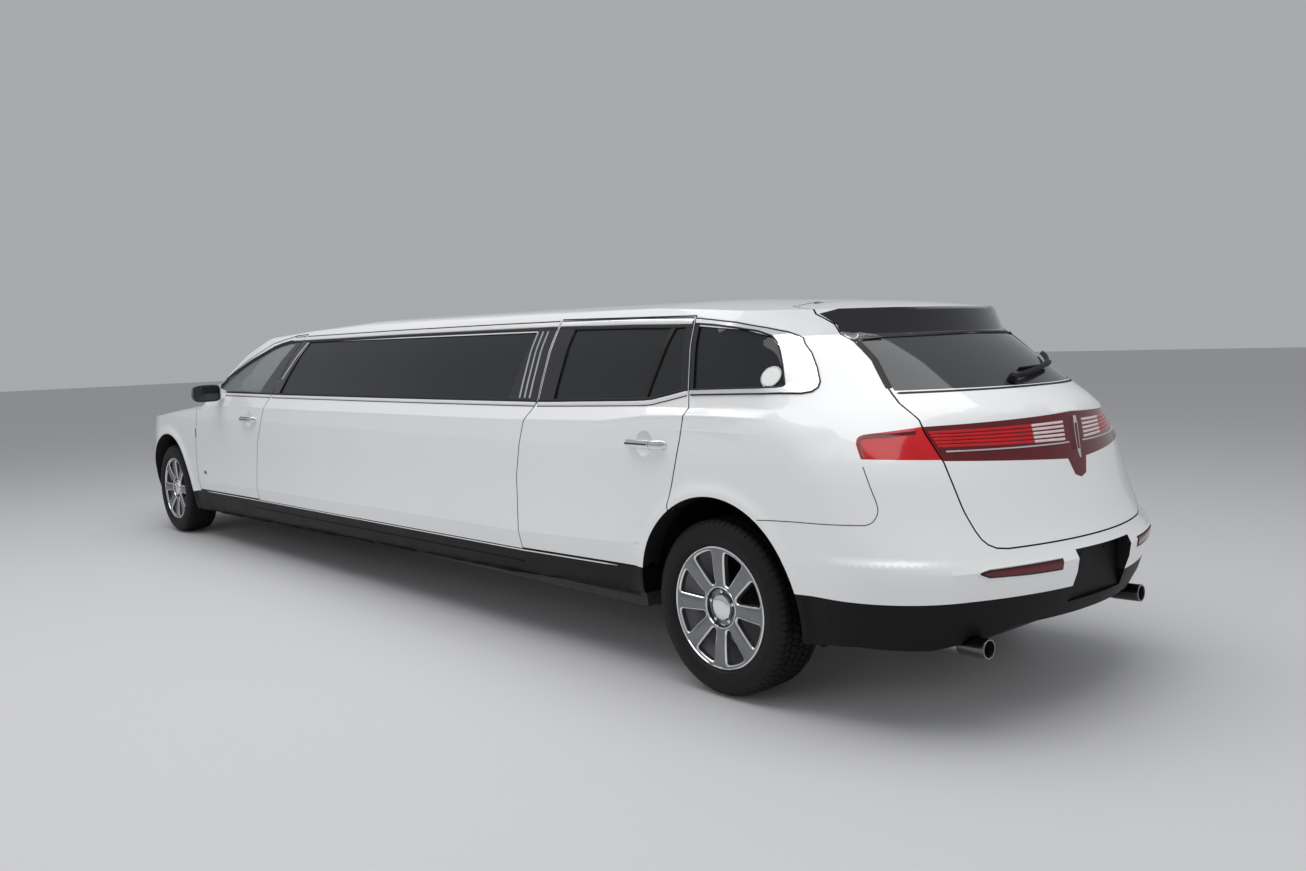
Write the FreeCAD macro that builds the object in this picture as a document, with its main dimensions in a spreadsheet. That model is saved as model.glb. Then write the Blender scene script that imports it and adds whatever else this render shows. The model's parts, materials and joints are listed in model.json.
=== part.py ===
"""Stretch limousine on a large crossover wagon body.

Frame: millimetres, +X forward, +Y to the left, +Z up, origin on the ground under the
middle of the car's length.  The body is one lofted outer form.  The same form, drawn
smaller, hollows it, and outlines cut it into the real panels, doors and glasses.
"""

import FreeCAD, Part
import os
import Sketcher
from FreeCAD import Placement, Rotation, Vector

DOC = FreeCAD.newDocument("stretch_limousine")

# ---------------------------------------------------------------- sizes
# alias, value in mm (or degrees, or a count), what it is
SIZES = [
    ("wheelbase", 6551, "front axle to rear axle"),
    ("front_overhang", 1078, "front axle to nose"),
    ("rear_overhang", 1200, "rear axle to tail"),
    ("body_width", 1930, "over the side panels"),
    ("body_height", 1688, "ground to roof crown"),
    ("tyre_radius", 370.5, "outer radius of a tyre"),
    ("tyre_width", 240, "tread width"),
    ("rim_radius", 259, "radius of the rim flange"),
    ("wheel_face", 943, "car's centre plane to the wheel's outer face"),
    ("arch_radius", 458, "wheel arch in the side panels"),
    ("arch_centre_height", 378, "ground to the arch centre"),
    ("jack_pad_height", 10, "depth of the four jacking pads under the floor"),
    ("well_inner", 478, "centre plane to the inner wall of a wheel housing"),
    ("wall_low", 92, "side wall below the glass, whole thickness"),
    ("wall_high", 46, "side wall and roof round the glass"),
    ("skin_depth", 24, "depth of the outer skin before the door rebate"),
    ("door_rebate", 14, "step of the door's inner part inside its skin"),
    ("panel_gap", 6, "gap round a moving panel"),
    ("seat_clearance", 0.3, "between a piece and what carries it"),
    ("gate_front", 120, "rear axle to the liftgate's front edge"),
    ("hood_thickness", 38, "hood"),
    ("lamp_depth", 30, "lamps, grille and spoiler fascia, let into the body"),
    ("bulkhead", 560, "front axle to the rear face of the bulkhead"),
    ("glass_depth", 7, "glass face below the body surface"),
    ("glass_thickness", 5, "all glasses"),
    ("floor_bottom", 268, "ground to the floor's underside"),
    ("floor_thickness", 40, "floor pan"),
    ("rear_floor_height", 452, "ground to the raised rear floor's underside"),
    ("housing_thickness", 14, "wheel housing wall"),
    ("hub_radius", 70, "hub and its bore in the wheel"),
    ("spoke_count", 8, "spokes of a wheel"),
    ("kingpin_offset", 720, "centre plane to the steering axis"),
    ("strut_offset", 630, "centre plane to a front strut"),
    ("axle_tube_radius", 38, "rear axle's cross tube"),
    ("plate_hole_spacing", 177.8, "between the two number plate holes"),
    ("plate_hole_radius", 3.2, "number plate hole"),
]

sheet = DOC.addObject("Spreadsheet::Sheet", "sizes")
for row, (alias, amount, meaning) in enumerate(SIZES, start=1):
    sheet.set(f"A{row}", alias)
    sheet.set(f"B{row}", str(amount))
    sheet.set(f"C{row}", meaning)
    sheet.setAlias(f"B{row}", alias)
DOC.recompute()


def size(alias):
    """The plain number in the sheet's cell."""
    return float(sheet.get(alias))


rear_axle = (size("rear_overhang") - size("front_overhang") - size("wheelbase")) / 2
front_axle = rear_axle + size("wheelbase")
half_width = size("body_width") / 2
roof_top = size("body_height")
REAR_AXLE = "(sizes.rear_overhang - sizes.front_overhang - sizes.wheelbase) / 2"
FRONT_AXLE = "(sizes.rear_overhang - sizes.front_overhang + sizes.wheelbase) / 2"
LEFT = 1
RIGHT = -1
pieces = []


def keep(label, shape):
    """Store a finished sub-part made from the body form."""
    feature = DOC.addObject("Part::Feature", label)
    feature.Label = label
    feature.Shape = shape
    feature.Placement = Placement()
    pieces.append(feature)
    return feature


# ---------------------------------------------------------------- body form
# Horizontal sections of the body.  Columns:
#   height       above the ground (or below the roof crown when negative)
#   inset        side surface inside the half width
#   tail         tail centre behind the rear overhang's end, counted forward
#   bow          how far the tail runs forward at BOW_BREADTH from the centre plane
#   corner_x, corner_y   length and breadth of the rounded tail corner
#   nose         nose centre inside the front overhang's end, counted back
BODY_LEVELS = [
    (200, 70, 190, 150, 420, 300, 120),
    (330, 38, 110, 150, 420, 290, 60),
    (440, 20, 50, 150, 420, 280, 22),
    (560, 7, 8, 150, 430, 280, 0),
    (612, 3, 0, 150, 440, 280, 2),
    (655, 2, 22, 150, 440, 280, 6),
    (676, 2, 45, 148, 440, 280, 10),
    (820, 2, 97, 155, 440, 280, 30),
    (1000, 10, 137, 165, 440, 285, 90),
    (1100, 18, 151, 235, 440, 290, 150),
    (1150, 38, 161, 255, 440, 290, 220),
    (1192, 60, 199, 280, 440, 290, 300),
    (1290, 78, 340, 280, 420, 280, 400),
    (-246, 112, 556, 250, 380, 260, 500),
    (-212, 124, 612, 260, 375, 255, 530),
    (-120, 162, 648, 265, 360, 235, 590),
    (-66, 200, 717, 220, 350, 220, 640),
    (-30, 262, 817, 170, 330, 200, 700),
    (60, 420, 1037, 105, 300, 180, 760),
]
NOSE_BOW = 200
BOW_BREADTH = 660
NOSE_CORNER_X = 740
NOSE_CORNER_Y = 440


def level_height(height):
    return height if height > 100 else roof_top + height


def rounded_end(x_end, direction, bow, corner_x, corner_y, half):
    """Bowed end of a horizontal section: corner arc, end arc, corner arc."""
    inner_y = half - corner_y
    bow = bow * (inner_y / BOW_BREADTH) ** 2
    inner_x = x_end + direction * bow
    radius = (inner_y ** 2 + bow ** 2) / (2 * bow)
    slope = inner_y / (radius - bow)
    turn_x = inner_x + direction * slope * corner_y
    side_x = inner_x + direction * corner_x
    middle_x = (inner_x + 2 * turn_x + side_x) / 4
    middle_y = (inner_y + 3 * half) / 4
    return side_x, middle_x, middle_y, inner_x, inner_y


def body_section(level, shrink):
    """Closed horizontal section at one level, drawn smaller by shrink."""
    height, inset, tail, tail_bow, corner_x, corner_y, nose = level
    z = level_height(height)
    half = half_width - inset - shrink
    tail_x = rear_axle - size("rear_overhang") + tail + shrink
    nose_x = front_axle + size("front_overhang") - nose - shrink
    side_t, mid_tx, mid_ty, in_tx, in_ty = rounded_end(
        tail_x, 1, tail_bow, corner_x, corner_y, half)
    side_n, mid_nx, mid_ny, in_nx, in_ny = rounded_end(
        nose_x, -1, NOSE_BOW, NOSE_CORNER_X, NOSE_CORNER_Y, half)

    def at(x, y):
        return Vector(x, y, z)

    edges = [
        Part.Arc(at(in_tx, -in_ty), at(tail_x, 0), at(in_tx, in_ty)).toShape(),
        Part.Arc(at(in_tx, in_ty), at(mid_tx, mid_ty), at(side_t, half)).toShape(),
        Part.LineSegment(at(side_t, half), at(side_n, half)).toShape(),
        Part.Arc(at(side_n, half), at(mid_nx, mid_ny), at(in_nx, in_ny)).toShape(),
        Part.Arc(at(in_nx, in_ny), at(nose_x, 0), at(in_nx, -in_ny)).toShape(),
        Part.Arc(at(in_nx, -in_ny), at(mid_nx, -mid_ny), at(side_n, -half)).toShape(),
        Part.LineSegment(at(side_n, -half), at(side_t, -half)).toShape(),
        Part.Arc(at(side_t, -half), at(mid_tx, -mid_ty), at(in_tx, -in_ty)).toShape(),
    ]
    return Part.Wire(edges)


# Crown lines: distance behind the front axle (or behind the rear axle when the third
# column says so), height below the roof crown.
ROOF_LINE = [
    (-1300, -96, "front"),
    (1550, -80, "front"),
    (1900, -54, "front"),
    (2500, -26, "front"),
    (3300, 0, "front"),
    (-1500, -14, "rear"),
    (-500, -28, "rear"),
    (-150, -46, "rear"),
    (212, -70, "rear"),
    (472, -100, "rear"),
    (640, -134, "rear"),
    (1400, -330, "rear"),
]
HOOD_LINE = [
    (-1100, 900), (-960, 975), (-700, 1035), (-100, 1095), (600, 1152), (1400, 1190),
    (2900, 1210)]
ROOF_CROWN = 0.07
HOOD_CROWN = 0.11
CAP_HALF = 1.1


def crown_section(x, z, crown, base):
    """Arc across the car over a flat base, as a closed section at x."""
    reach = CAP_HALF * 1000
    drop = crown * CAP_HALF ** 2 * 1000
    left = Vector(x, reach, z - drop)
    right = Vector(x, -reach, z - drop)
    low_left = Vector(x, reach, base)
    low_right = Vector(x, -reach, base)
    return Part.Wire([
        Part.Arc(right, Vector(x, 0, z), left).toShape(),
        Part.LineSegment(left, low_left).toShape(),
        Part.LineSegment(low_left, low_right).toShape(),
        Part.LineSegment(low_right, right).toShape(),
    ])


def below_roof(shrink):
    """Everything under the roof's crowned surface."""
    sections = []
    for behind, drop, axle in reversed(ROOF_LINE):
        x = front_axle - behind if axle == "front" else rear_axle - behind
        sections.append(crown_section(x, roof_top + drop - shrink, ROOF_CROWN, 100))
    return Part.makeLoft(sections, True, True)


def above_hood(shrink):
    """Everything over the hood's crowned surface."""
    sections = []
    for behind, height in reversed(HOOD_LINE):
        x = front_axle - behind
        sections.append(crown_section(x, height - shrink, HOOD_CROWN, 2000))
    return Part.makeLoft(sections, True, True)


# Windscreen surface: height, distance of its centre behind the front axle
SCREEN_LINE = [(860, 60), (1000, 330), (1160, 640), (1330, 960), (1475, 1280), (1578, 1610), (1650, 1990),
               (1760, 2760)]
SCREEN_BOW = 0.36
SCREEN_RAKE = 2.3


def ahead_of_screen(shrink):
    """Everything in front of the bowed windscreen surface."""
    reach = 1100.0
    sections = []
    for height, behind in SCREEN_LINE:
        x = front_axle - behind - shrink * SCREEN_RAKE
        edge = x - SCREEN_BOW * (reach / 1000) ** 2 * 1000
        left = Vector(edge, reach, height)
        right = Vector(edge, -reach, height)
        far_left = Vector(front_axle + 1400, reach, height)
        far_right = Vector(front_axle + 1400, -reach, height)
        sections.append(Part.Wire([
            Part.Arc(right, Vector(x, 0, height), left).toShape(),
            Part.LineSegment(left, far_left).toShape(),
            Part.LineSegment(far_left, far_right).toShape(),
            Part.LineSegment(far_right, right).toShape(),
        ]))
    return Part.makeLoft(sections, True, True)


def body_form(shrink, open_bottom=0):
    """The whole outer form, drawn smaller all round by shrink."""
    levels = list(BODY_LEVELS)
    if open_bottom:
        first = levels[0]
        levels[0] = (first[0] - open_bottom,) + first[1:]
    stack = Part.makeLoft([body_section(level, shrink) for level in levels], True, True)
    notch = ahead_of_screen(shrink).common(above_hood(shrink))
    return stack.common(below_roof(shrink)).cut(notch)


def inner_form():
    """Hollow of the cabin: thick walls below the glass, thin ones above."""
    wide = body_form(size("wall_high"), 80)
    belt = 1150
    lower = body_form(size("wall_low"), 80)
    top = Part.makeBox(10000, 3000, 1000, Vector(-5000, -1500, belt))
    bottom = Part.makeBox(10000, 3000, 1200, Vector(-5000, -1500, belt - 1200))
    return wide.common(top).fuse(lower.common(bottom))


def prism_xz(points, y_from, y_to, grow=0.0):
    """Side-view outline, given as (x, z), extruded across the car."""
    face = Part.Face(Part.makePolygon([Vector(x, y_from, z) for x, z in points + points[:1]]))
    if grow:
        face = face.makeOffset2D(grow, 2)
    return face.extrude(Vector(0, y_to - y_from, 0))


def prism_yz(points, x_from, x_to, grow=0.0):
    """Front-view outline, given as (y, z), extruded along the car."""
    face = Part.Face(Part.makePolygon([Vector(x_from, y, z) for y, z in points + points[:1]]))
    if grow:
        face = face.makeOffset2D(grow, 2)
    return face.extrude(Vector(x_to - x_from, 0, 0))


def prism_xy(points, z_from, z_to, grow=0.0):
    """Plan-view outline, given as (x, y), extruded upward."""
    face = Part.Face(Part.makePolygon([Vector(x, y, z_from) for x, y in points + points[:1]]))
    if grow:
        face = face.makeOffset2D(grow, 2)
    return face.extrude(Vector(0, 0, z_to - z_from))


def slab(x_from, x_to, z_from, z_to, y_from=-1500, y_to=1500):
    return Part.makeBox(x_to - x_from, y_to - y_from, z_to - z_from,
                        Vector(x_from, y_from, z_from))


def side_span(side, inner=300):
    """Range of Y that holds one side wall."""
    return (inner, 1100) if side == LEFT else (-1100, -inner)


def both_sides(points, grow=0.0):
    return prism_xz(points, 300, 1100, grow).fuse(prism_xz(points, -1100, -300, grow))


def from_front(points):
    return [(front_axle - behind, z) for behind, z in points]


def from_rear(points):
    return [(rear_axle + ahead, z) for ahead, z in points]


# ---------------------------------------------------------------- outlines
# Side view.  Front group: (behind the front axle, height).
FRONT_DOOR = from_front([
    (628, 412), (628, 700), (665, 1010), (700, 1110), (905, 1176), (1060, 1256), (1500, 1420),
    (1930, 1549), (2290, 1598), (2448, 1600), (2070, 1200), (2020, 1130), (1895, 860),
    (1815, 428)])
FRONT_GLASS = from_front([
    (1062, 1228), (1505, 1394), (1960, 1520), (2330, 1560), (1850, 1197), (1250, 1193)])
# Rear group: (ahead of the rear axle, height).
REAR_DOOR = from_rear([
    (470, 484), (1389, 462), (1389, 830), (1367, 981), (1335, 1097), (1262, 1200), (1185, 1594),
    (222, 1576), (185, 1268), (172, 1162), (191, 1056), (227, 908), (259, 778), (200, 484)])
REAR_GLASS = from_rear([
    (1140, 1202), (1056, 1549), (262, 1534), (224, 1262), (320, 1232), (470, 1214), (760, 1204)])
QUARTER_GLASS = from_rear([
    (197, 1532), (166, 1269), (-318, 1284), (-283, 1363), (-237, 1440), (-184, 1478),
    (-72, 1509)])
STRETCH_GLASS = [
    (front_axle - 2532, 1546), (front_axle - 2176, 1194),
    (rear_axle + 1518, 1206), (rear_axle + 1353, 1538)]

door_gap = size("panel_gap") / 2
outer_form = body_form(0)
skin_form = body_form(size("skin_depth"))
hollow = inner_form()
shell = outer_form.cut(hollow)
glass_layer = body_form(size("glass_depth")).cut(
    body_form(size("glass_depth") + size("glass_thickness")))


def arch_cut(axle, radius):
    """Round wheel opening through both side walls."""
    return Part.makeCylinder(radius, 2400, Vector(axle, -1200, size("arch_centre_height")),
                             Vector(0, 1, 0))


arches = arch_cut(rear_axle, size("arch_radius")).fuse(
    arch_cut(front_axle, size("arch_radius")))
shell = shell.cut(arches)

DOOR_INNER = 825  # centre plane to the nearest point of a door below the belt line


def make_door(label, outline, glass, side):
    """Full-thickness door with a rebate round its inner part and its window cut."""
    y_from, y_to = side_span(side, 640)
    whole = prism_xz(outline, y_from, y_to, -door_gap)
    inner = prism_xz(outline, y_from, y_to, -door_gap - size("door_rebate"))
    cabin_side = slab(rear_axle, front_axle, 300, 1150, -DOOR_INNER, DOOR_INNER)
    rebate = skin_form.common(whole.cut(inner))
    door = shell.common(whole.cut(cabin_side)).cut(rebate).cut(prism_xz(glass, y_from, y_to))
    keep(label, door)
    pane = glass_layer.common(prism_xz(glass, y_from, y_to))
    keep(label + "_glass", pane)


side_names = {LEFT: "left", RIGHT: "right"}
for side, name in side_names.items():
    make_door(name + "_front_door", FRONT_DOOR, FRONT_GLASS, side)
    make_door(name + "_rear_door", REAR_DOOR, REAR_GLASS, side)

# ---------------------------------------------------------------- liftgate
# Rear views, (y, z)
GATE_HALF = [(500, 680), (548, 686), (577, 701), (595, 722), (607, 752), (617, 792),
             (628, 845), (653, 1003), (649, 1110), (646, 1168),
             (647, 1211), (636, 1245), (585, 1374), (580, 1455), (595, 1518), (642, 1561),
             (642, 1800)]
GATE = GATE_HALF + [(-y, z) for y, z in reversed(GATE_HALF)]
WINDOW_HALF = [(618, 1256), (571, 1374), (566, 1448), (510, 1458), (300, 1465)]
REAR_WINDOW = WINDOW_HALF + [(-y, z) for y, z in reversed(WINDOW_HALF)]
SPOILER_HALF = [(343, 1470), (512, 1464), (588, 1514), (632, 1562), (560, 1580), (300, 1580)]
SPOILER = SPOILER_HALF + [(-y, z) for y, z in reversed(SPOILER_HALF)]
GATE_LAMP = [(0, 892), (42, 905), (70, 968), (668, 1005), (698, 1124), (0, 1147), (-698, 1124),
             (-668, 1005), (-70, 968), (-42, 905)]
behind_all = rear_axle - 1400
gate_front = rear_axle - size("gate_front")
# Plan view of the gate's front corners: (ahead of the gate's front edge, half breadth)
GATE_PLAN_HALF = [(0, 574), (-130, 660), (-1400, 900)]
gate_plan = [(gate_front + x, y) for x, y in GATE_PLAN_HALF]
gate_plan += [(x, -y) for x, y in reversed(gate_plan)]
gate_cut = prism_yz(GATE, behind_all, gate_front + door_gap, door_gap).common(
    prism_xy(gate_plan, 500, 1900, door_gap))
gate_space = prism_yz(GATE, behind_all, gate_front - door_gap, -door_gap).common(
    prism_xy(gate_plan, 500, 1900, -door_gap))
window_cut = prism_yz(REAR_WINDOW, behind_all, rear_axle - 300)
lamp_inner = body_form(size("lamp_depth"))
lamp_layer = outer_form.cut(lamp_inner)
gate_lamp = lamp_layer.common(prism_yz(GATE_LAMP, behind_all, rear_axle - 700)).common(gate_space)
spoiler = lamp_layer.common(prism_yz(SPOILER, behind_all, rear_axle - 200)).common(gate_space)
keep("liftgate", shell.common(gate_space).cut(window_cut).cut(gate_lamp).cut(spoiler))
keep("rear_window", glass_layer.common(window_cut))
keep("gate_lamp", gate_lamp)
keep("rear_spoiler", spoiler)

# ---------------------------------------------------------------- fixed panels
rest = shell.cut(gate_cut)
rest = rest.cut(both_sides(FRONT_DOOR, door_gap)).cut(both_sides(REAR_DOOR, door_gap))
rest = rest.cut(both_sides(STRETCH_GLASS)).cut(both_sides(QUARTER_GLASS))

SIDE_LAMP = [(600, 1005), (872, 1020), (890, 1032), (896, 1080), (884, 1098), (600, 1132)]
LAMP_FLANK = [(-1400, 950), (-748, 950), (-699, 1019), (-672, 1056), (-660, 1074), (-655, 1090),
              (-658, 1099), (-669, 1105), (-690, 1108), (-760, 1160), (-1400, 1300)]
lamp_flank = prism_xz([(rear_axle + x, z) for x, z in LAMP_FLANK], -1000, 1000)
lamp_pocket = prism_yz(SIDE_LAMP, behind_all, rear_axle - 600).fuse(
    prism_yz([(-y, z) for y, z in SIDE_LAMP], behind_all, rear_axle - 600)).common(lamp_flank)
side_lamps = lamp_layer.common(lamp_pocket).common(rest)
rest = rest.cut(side_lamps)
keep("tail_lamps", side_lamps)

# Hood: plan-view outline, (behind the front axle, half breadth)
HOOD_PLAN = [(-830, 0), (-800, 300), (-700, 560), (-480, 730), (200, 790), (560, 780)]


def mirrored_plan(points):
    """Half outline (behind the front axle, half breadth) closed across the centre plane."""
    left = [(front_axle - behind, y) for behind, y in points]
    right = [(x, -y) for x, y in reversed(left) if y]
    return left + right


hood_outline = mirrored_plan(HOOD_PLAN)
hood_inner = body_form(size("hood_thickness"))
hood_layer = outer_form.cut(hood_inner)
keep("hood", hood_layer.common(prism_xy(hood_outline, 900, 1400, -door_gap)))
rest = rest.cut(prism_xy(hood_outline, 900, 1400, door_gap))

# Windscreen: plan-view outline between the pillars, the cowl and the roof's front rail
SCREEN_PLAN = [(672, 0), (700, 300), (790, 560), (900, 745), (1500, 712), (2080, 600),
               (2010, 300)]
screen_cut = prism_xy(mirrored_plan(SCREEN_PLAN), 1000, 1800)
keep("windscreen", glass_layer.common(screen_cut))
rest = rest.cut(screen_cut)

# Grille and headlamps: front views, (y, height)
GRILLE = [(-430, 560), (430, 560), (470, 700), (440, 880), (-440, 880), (-470, 700)]
HEADLAMP = [(500, 740), (880, 790), (905, 860), (880, 900), (500, 880)]
grille_cut = prism_yz(GRILLE, front_axle + 500, front_axle + 1200)
headlamp_cut = prism_yz(HEADLAMP, front_axle + 480, front_axle + 1200).fuse(
    prism_yz([(-y, z) for y, z in HEADLAMP], front_axle + 480, front_axle + 1200))
grille = lamp_layer.common(grille_cut)
headlamps = lamp_layer.common(headlamp_cut)
keep("grille", grille)
keep("headlamps", headlamps)
rest = rest.cut(grille).cut(headlamps)

# Recess for the number plate and the two holes of its fixing
RECESS_HALF = 205
RECESS_LOW = 440
RECESS_HIGH = 645
recess_back = rear_axle - 1125
rest = rest.cut(slab(behind_all, recess_back, RECESS_LOW, RECESS_HIGH, -RECESS_HALF, RECESS_HALF))


def tube(start, finish, radius):
    """Round bar between two points."""
    way = finish.sub(start)
    return Part.makeCylinder(radius, way.Length, start, way)


for side in (LEFT, RIGHT):
    hole_y = side * size("plate_hole_spacing") / 2
    rest = rest.cut(tube(Vector(recess_back - 5, hole_y, 608), Vector(recess_back + 60, hole_y, 608),
                         size("plate_hole_radius")))

# Tail pipe ends, each given by its two points, and the room cut round them
TIP_RADIUS = 36
tail_pipes = []
for side in (LEFT, RIGHT):
    tip_front = Vector(rear_axle - 860, side * 585, 316)
    tip_end = Vector(rear_axle - 1045, side * 592, 320)
    tail_pipes.append((side, tip_front, tip_end))
    rest = rest.cut(tube(tip_front, tip_end, TIP_RADIUS + 8))

bumper_zone = prism_xz([
    (rear_axle - 100, 500), (rear_axle - 100, 760), (rear_axle - 347, 762),
    (rear_axle - 754, 792), (rear_axle - 782, 830), (rear_axle - 900, 700),
    (rear_axle - 1400, 668), (rear_axle - 1400, 505)], -1500, 1500)
valance_zone = prism_xz([
    (rear_axle - 100, 500), (rear_axle - 1400, 505), (rear_axle - 1400, 388),
    (rear_axle - 1060, 382), (rear_axle - 990, 336), (rear_axle - 890, 314),
    (rear_axle - 700, 326), (rear_axle - 560, 316), (rear_axle - 300, 282),
    (rear_axle - 100, 282)], -1500, 1500).fuse(
        slab(recess_back - 1, rear_axle - 950, RECESS_LOW - 1, RECESS_HIGH + 1,
             -RECESS_HALF - 1, RECESS_HALF + 1))
front_bumper_zone = slab(front_axle + 300, front_axle + 1300, 150, 700).fuse(
    slab(front_axle + 500, front_axle + 1300, 690, 1200, -600, 600))
fender_zone = prism_xz([
    (front_axle + 1300, 700), (front_axle + 300, 700), (front_axle + 300, 300),
    (front_axle - 622, 402), (front_axle - 627, 700), (front_axle - 662, 1010),
    (front_axle - 700, 1112), (front_axle - 700, 1300), (front_axle + 1300, 1300)],
    -1500, 1500).cut(slab(front_axle - 800, front_axle + 1300, 200, 1400, -600, 600))
skirt_zone = prism_xz([
    (rear_axle + 300, 483), (rear_axle + 470, 481), (rear_axle + 1389, 459),
    (front_axle - 1815, 425), (front_axle - 625, 409),
    (front_axle - 300, 398), (front_axle - 300, 238), (front_axle - 900, 238),
    (rear_axle + 1450, 322), (rear_axle + 300, 372)], -1500, 1500)
roof_zone = prism_xz([
    (rear_axle - 1400, 1605), (rear_axle - 560, 1560), (rear_axle - 200, 1575),
    (rear_axle + 1185, 1594), (rear_axle + 1500, 1599), (front_axle - 2600, 1603),
    (front_axle - 2290, 1603), (front_axle - 2290, 1900), (rear_axle - 1400, 1900)],
    -1500, 1500)
screen_zone = prism_xz(from_front([
    (480, 900), (700, 900), (700, 1113), (905, 1179), (1060, 1259), (1500, 1423), (1930, 1552),
    (2290, 1601), (2290, 1900), (480, 1900)]), -1500, 1500)
stretch_zone = slab(rear_axle + 1000, front_axle - 1500, 380, 1700)
quarter_zone = slab(rear_axle - 1400, rear_axle + 500, 500, 1700)

zones = [
    ("rear_valance", valance_zone),
    ("rear_bumper", bumper_zone),
    ("front_bumper", front_bumper_zone),
    ("front_fenders", fender_zone),
    ("side_skirts", skirt_zone),
    ("roof_panel", roof_zone),
    ("windscreen_surround", screen_zone),
    ("stretch_panels", stretch_zone),
    ("quarter_panels", quarter_zone),
]
claimed = None
for label, zone in zones:
    share = zone if claimed is None else zone.cut(claimed)
    keep(label, rest.common(share))
    claimed = zone if claimed is None else claimed.fuse(zone)
keep("fixed_side_windows", glass_layer.common(
    both_sides(STRETCH_GLASS).fuse(both_sides(QUARTER_GLASS))))

# ---------------------------------------------------------------- running gear
def plane_of(body, role):
    """Origin plane of a body, found by its role."""
    for feature in body.Origin.OriginFeatures:
        if feature.Role == role:
            return feature
    raise ValueError(role)


def profile(body, name, role, corners):
    """Closed sketch of straight lines; each corner is bound to two expressions."""
    sketch = body.newObject("Sketcher::SketchObject", name)
    sketch.AttachmentSupport = (plane_of(body, role), [""])
    sketch.MapMode = "FlatFace"
    count = len(corners)
    for number, (_, _, x, y) in enumerate(corners):
        _, _, next_x, next_y = corners[(number + 1) % count]
        sketch.addGeometry(Part.LineSegment(Vector(x, y, 0), Vector(next_x, next_y, 0)), False)
    for number in range(count):
        follower = (number + 1) % count
        sketch.addConstraint(Sketcher.Constraint("Coincident", number, 2, follower, 1))
    for number, (x_rule, y_rule, x, y) in enumerate(corners):
        sketch.addConstraint(Sketcher.Constraint("DistanceX", -1, 1, number, 1, x))
        sketch.renameConstraint(sketch.ConstraintCount - 1, f"across{number}")
        sketch.addConstraint(Sketcher.Constraint("DistanceY", -1, 1, number, 1, y))
        sketch.renameConstraint(sketch.ConstraintCount - 1, f"up{number}")
    for number, (x_rule, y_rule, _, _) in enumerate(corners):
        sketch.setExpression(f"Constraints.across{number}", x_rule)
        sketch.setExpression(f"Constraints.up{number}", y_rule)
    return sketch


def corner(base_x, plus_x, base_y, plus_y):
    """Sketch corner: a sheet value (or "") plus a fixed step, for x and for y."""
    numbers = []
    rules = []
    for base, plus in ((base_x, plus_x), (base_y, plus_y)):
        scale = 1.0
        alias = base
        if base.startswith("-"):
            scale = -1.0
            alias = base[1:]
        if base.endswith("/2"):
            scale = scale / 2
            alias = alias[:-2]
        amount = scale * size(alias) if alias else 0.0
        numbers.append(amount + plus)
        rules.append(f"{scale} * sizes.{alias} + {plus}" if alias else f"{plus}")
    return rules[0], rules[1], numbers[0], numbers[1]


def revolve(body, sketch, name):
    turned = body.newObject("PartDesign::Revolution", name)
    turned.Profile = sketch
    turned.ReferenceAxis = (sketch, ["H_Axis"])
    turned.Angle = 360
    body.Tip = turned
    return turned


def place_wheel(body, axle_rule, side):
    """Stand a wheel body (axis along its own X, outer face to +X) on its axle."""
    body.Placement = Placement(Vector(0, 0, 0), Rotation(Vector(0, 0, 1), 90 * side))
    body.setExpression(".Placement.Base.x", axle_rule)
    sign = "" if side == LEFT else "-"
    body.setExpression(".Placement.Base.y", sign + "sizes.wheel_face")
    body.setExpression(".Placement.Base.z", "sizes.tyre_radius")
    pieces.append(body)


def make_tyre(label, axle_rule, side):
    """Tyre: tread, shoulders and side walls turned about the wheel's axis."""
    body = DOC.addObject("PartDesign::Body", label)
    body.Label = label
    sketch = profile(body, label + "_section", "XZ_Plane", [
        corner("-tyre_width", 20.5, "rim_radius", -14),
        corner("-tyre_width", 20.5, "rim_radius", 0.5),
        corner("-tyre_width", 4, "rim_radius", 4),
        corner("-tyre_width", -6, "rim_radius", 40),
        corner("-tyre_width", 6, "tyre_radius", -36),
        corner("-tyre_width", 24, "tyre_radius", -8),
        corner("-tyre_width/2", 6, "tyre_radius", 0),
        corner("", -12, "tyre_radius", -8),
        corner("", 2, "tyre_radius", -36),
        corner("", 10, "rim_radius", 40),
        corner("", 4, "rim_radius", 4),
        corner("", -9.5, "rim_radius", 0.5),
        corner("", -9.5, "rim_radius", -14),
        corner("", -24, "rim_radius", -14),
        corner("", -24, "rim_radius", 14),
        corner("-tyre_width", 36, "rim_radius", 14),
        corner("-tyre_width", 36, "rim_radius", -14),
    ])
    revolve(body, sketch, label + "_turned")
    place_wheel(body, axle_rule, side)


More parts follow.
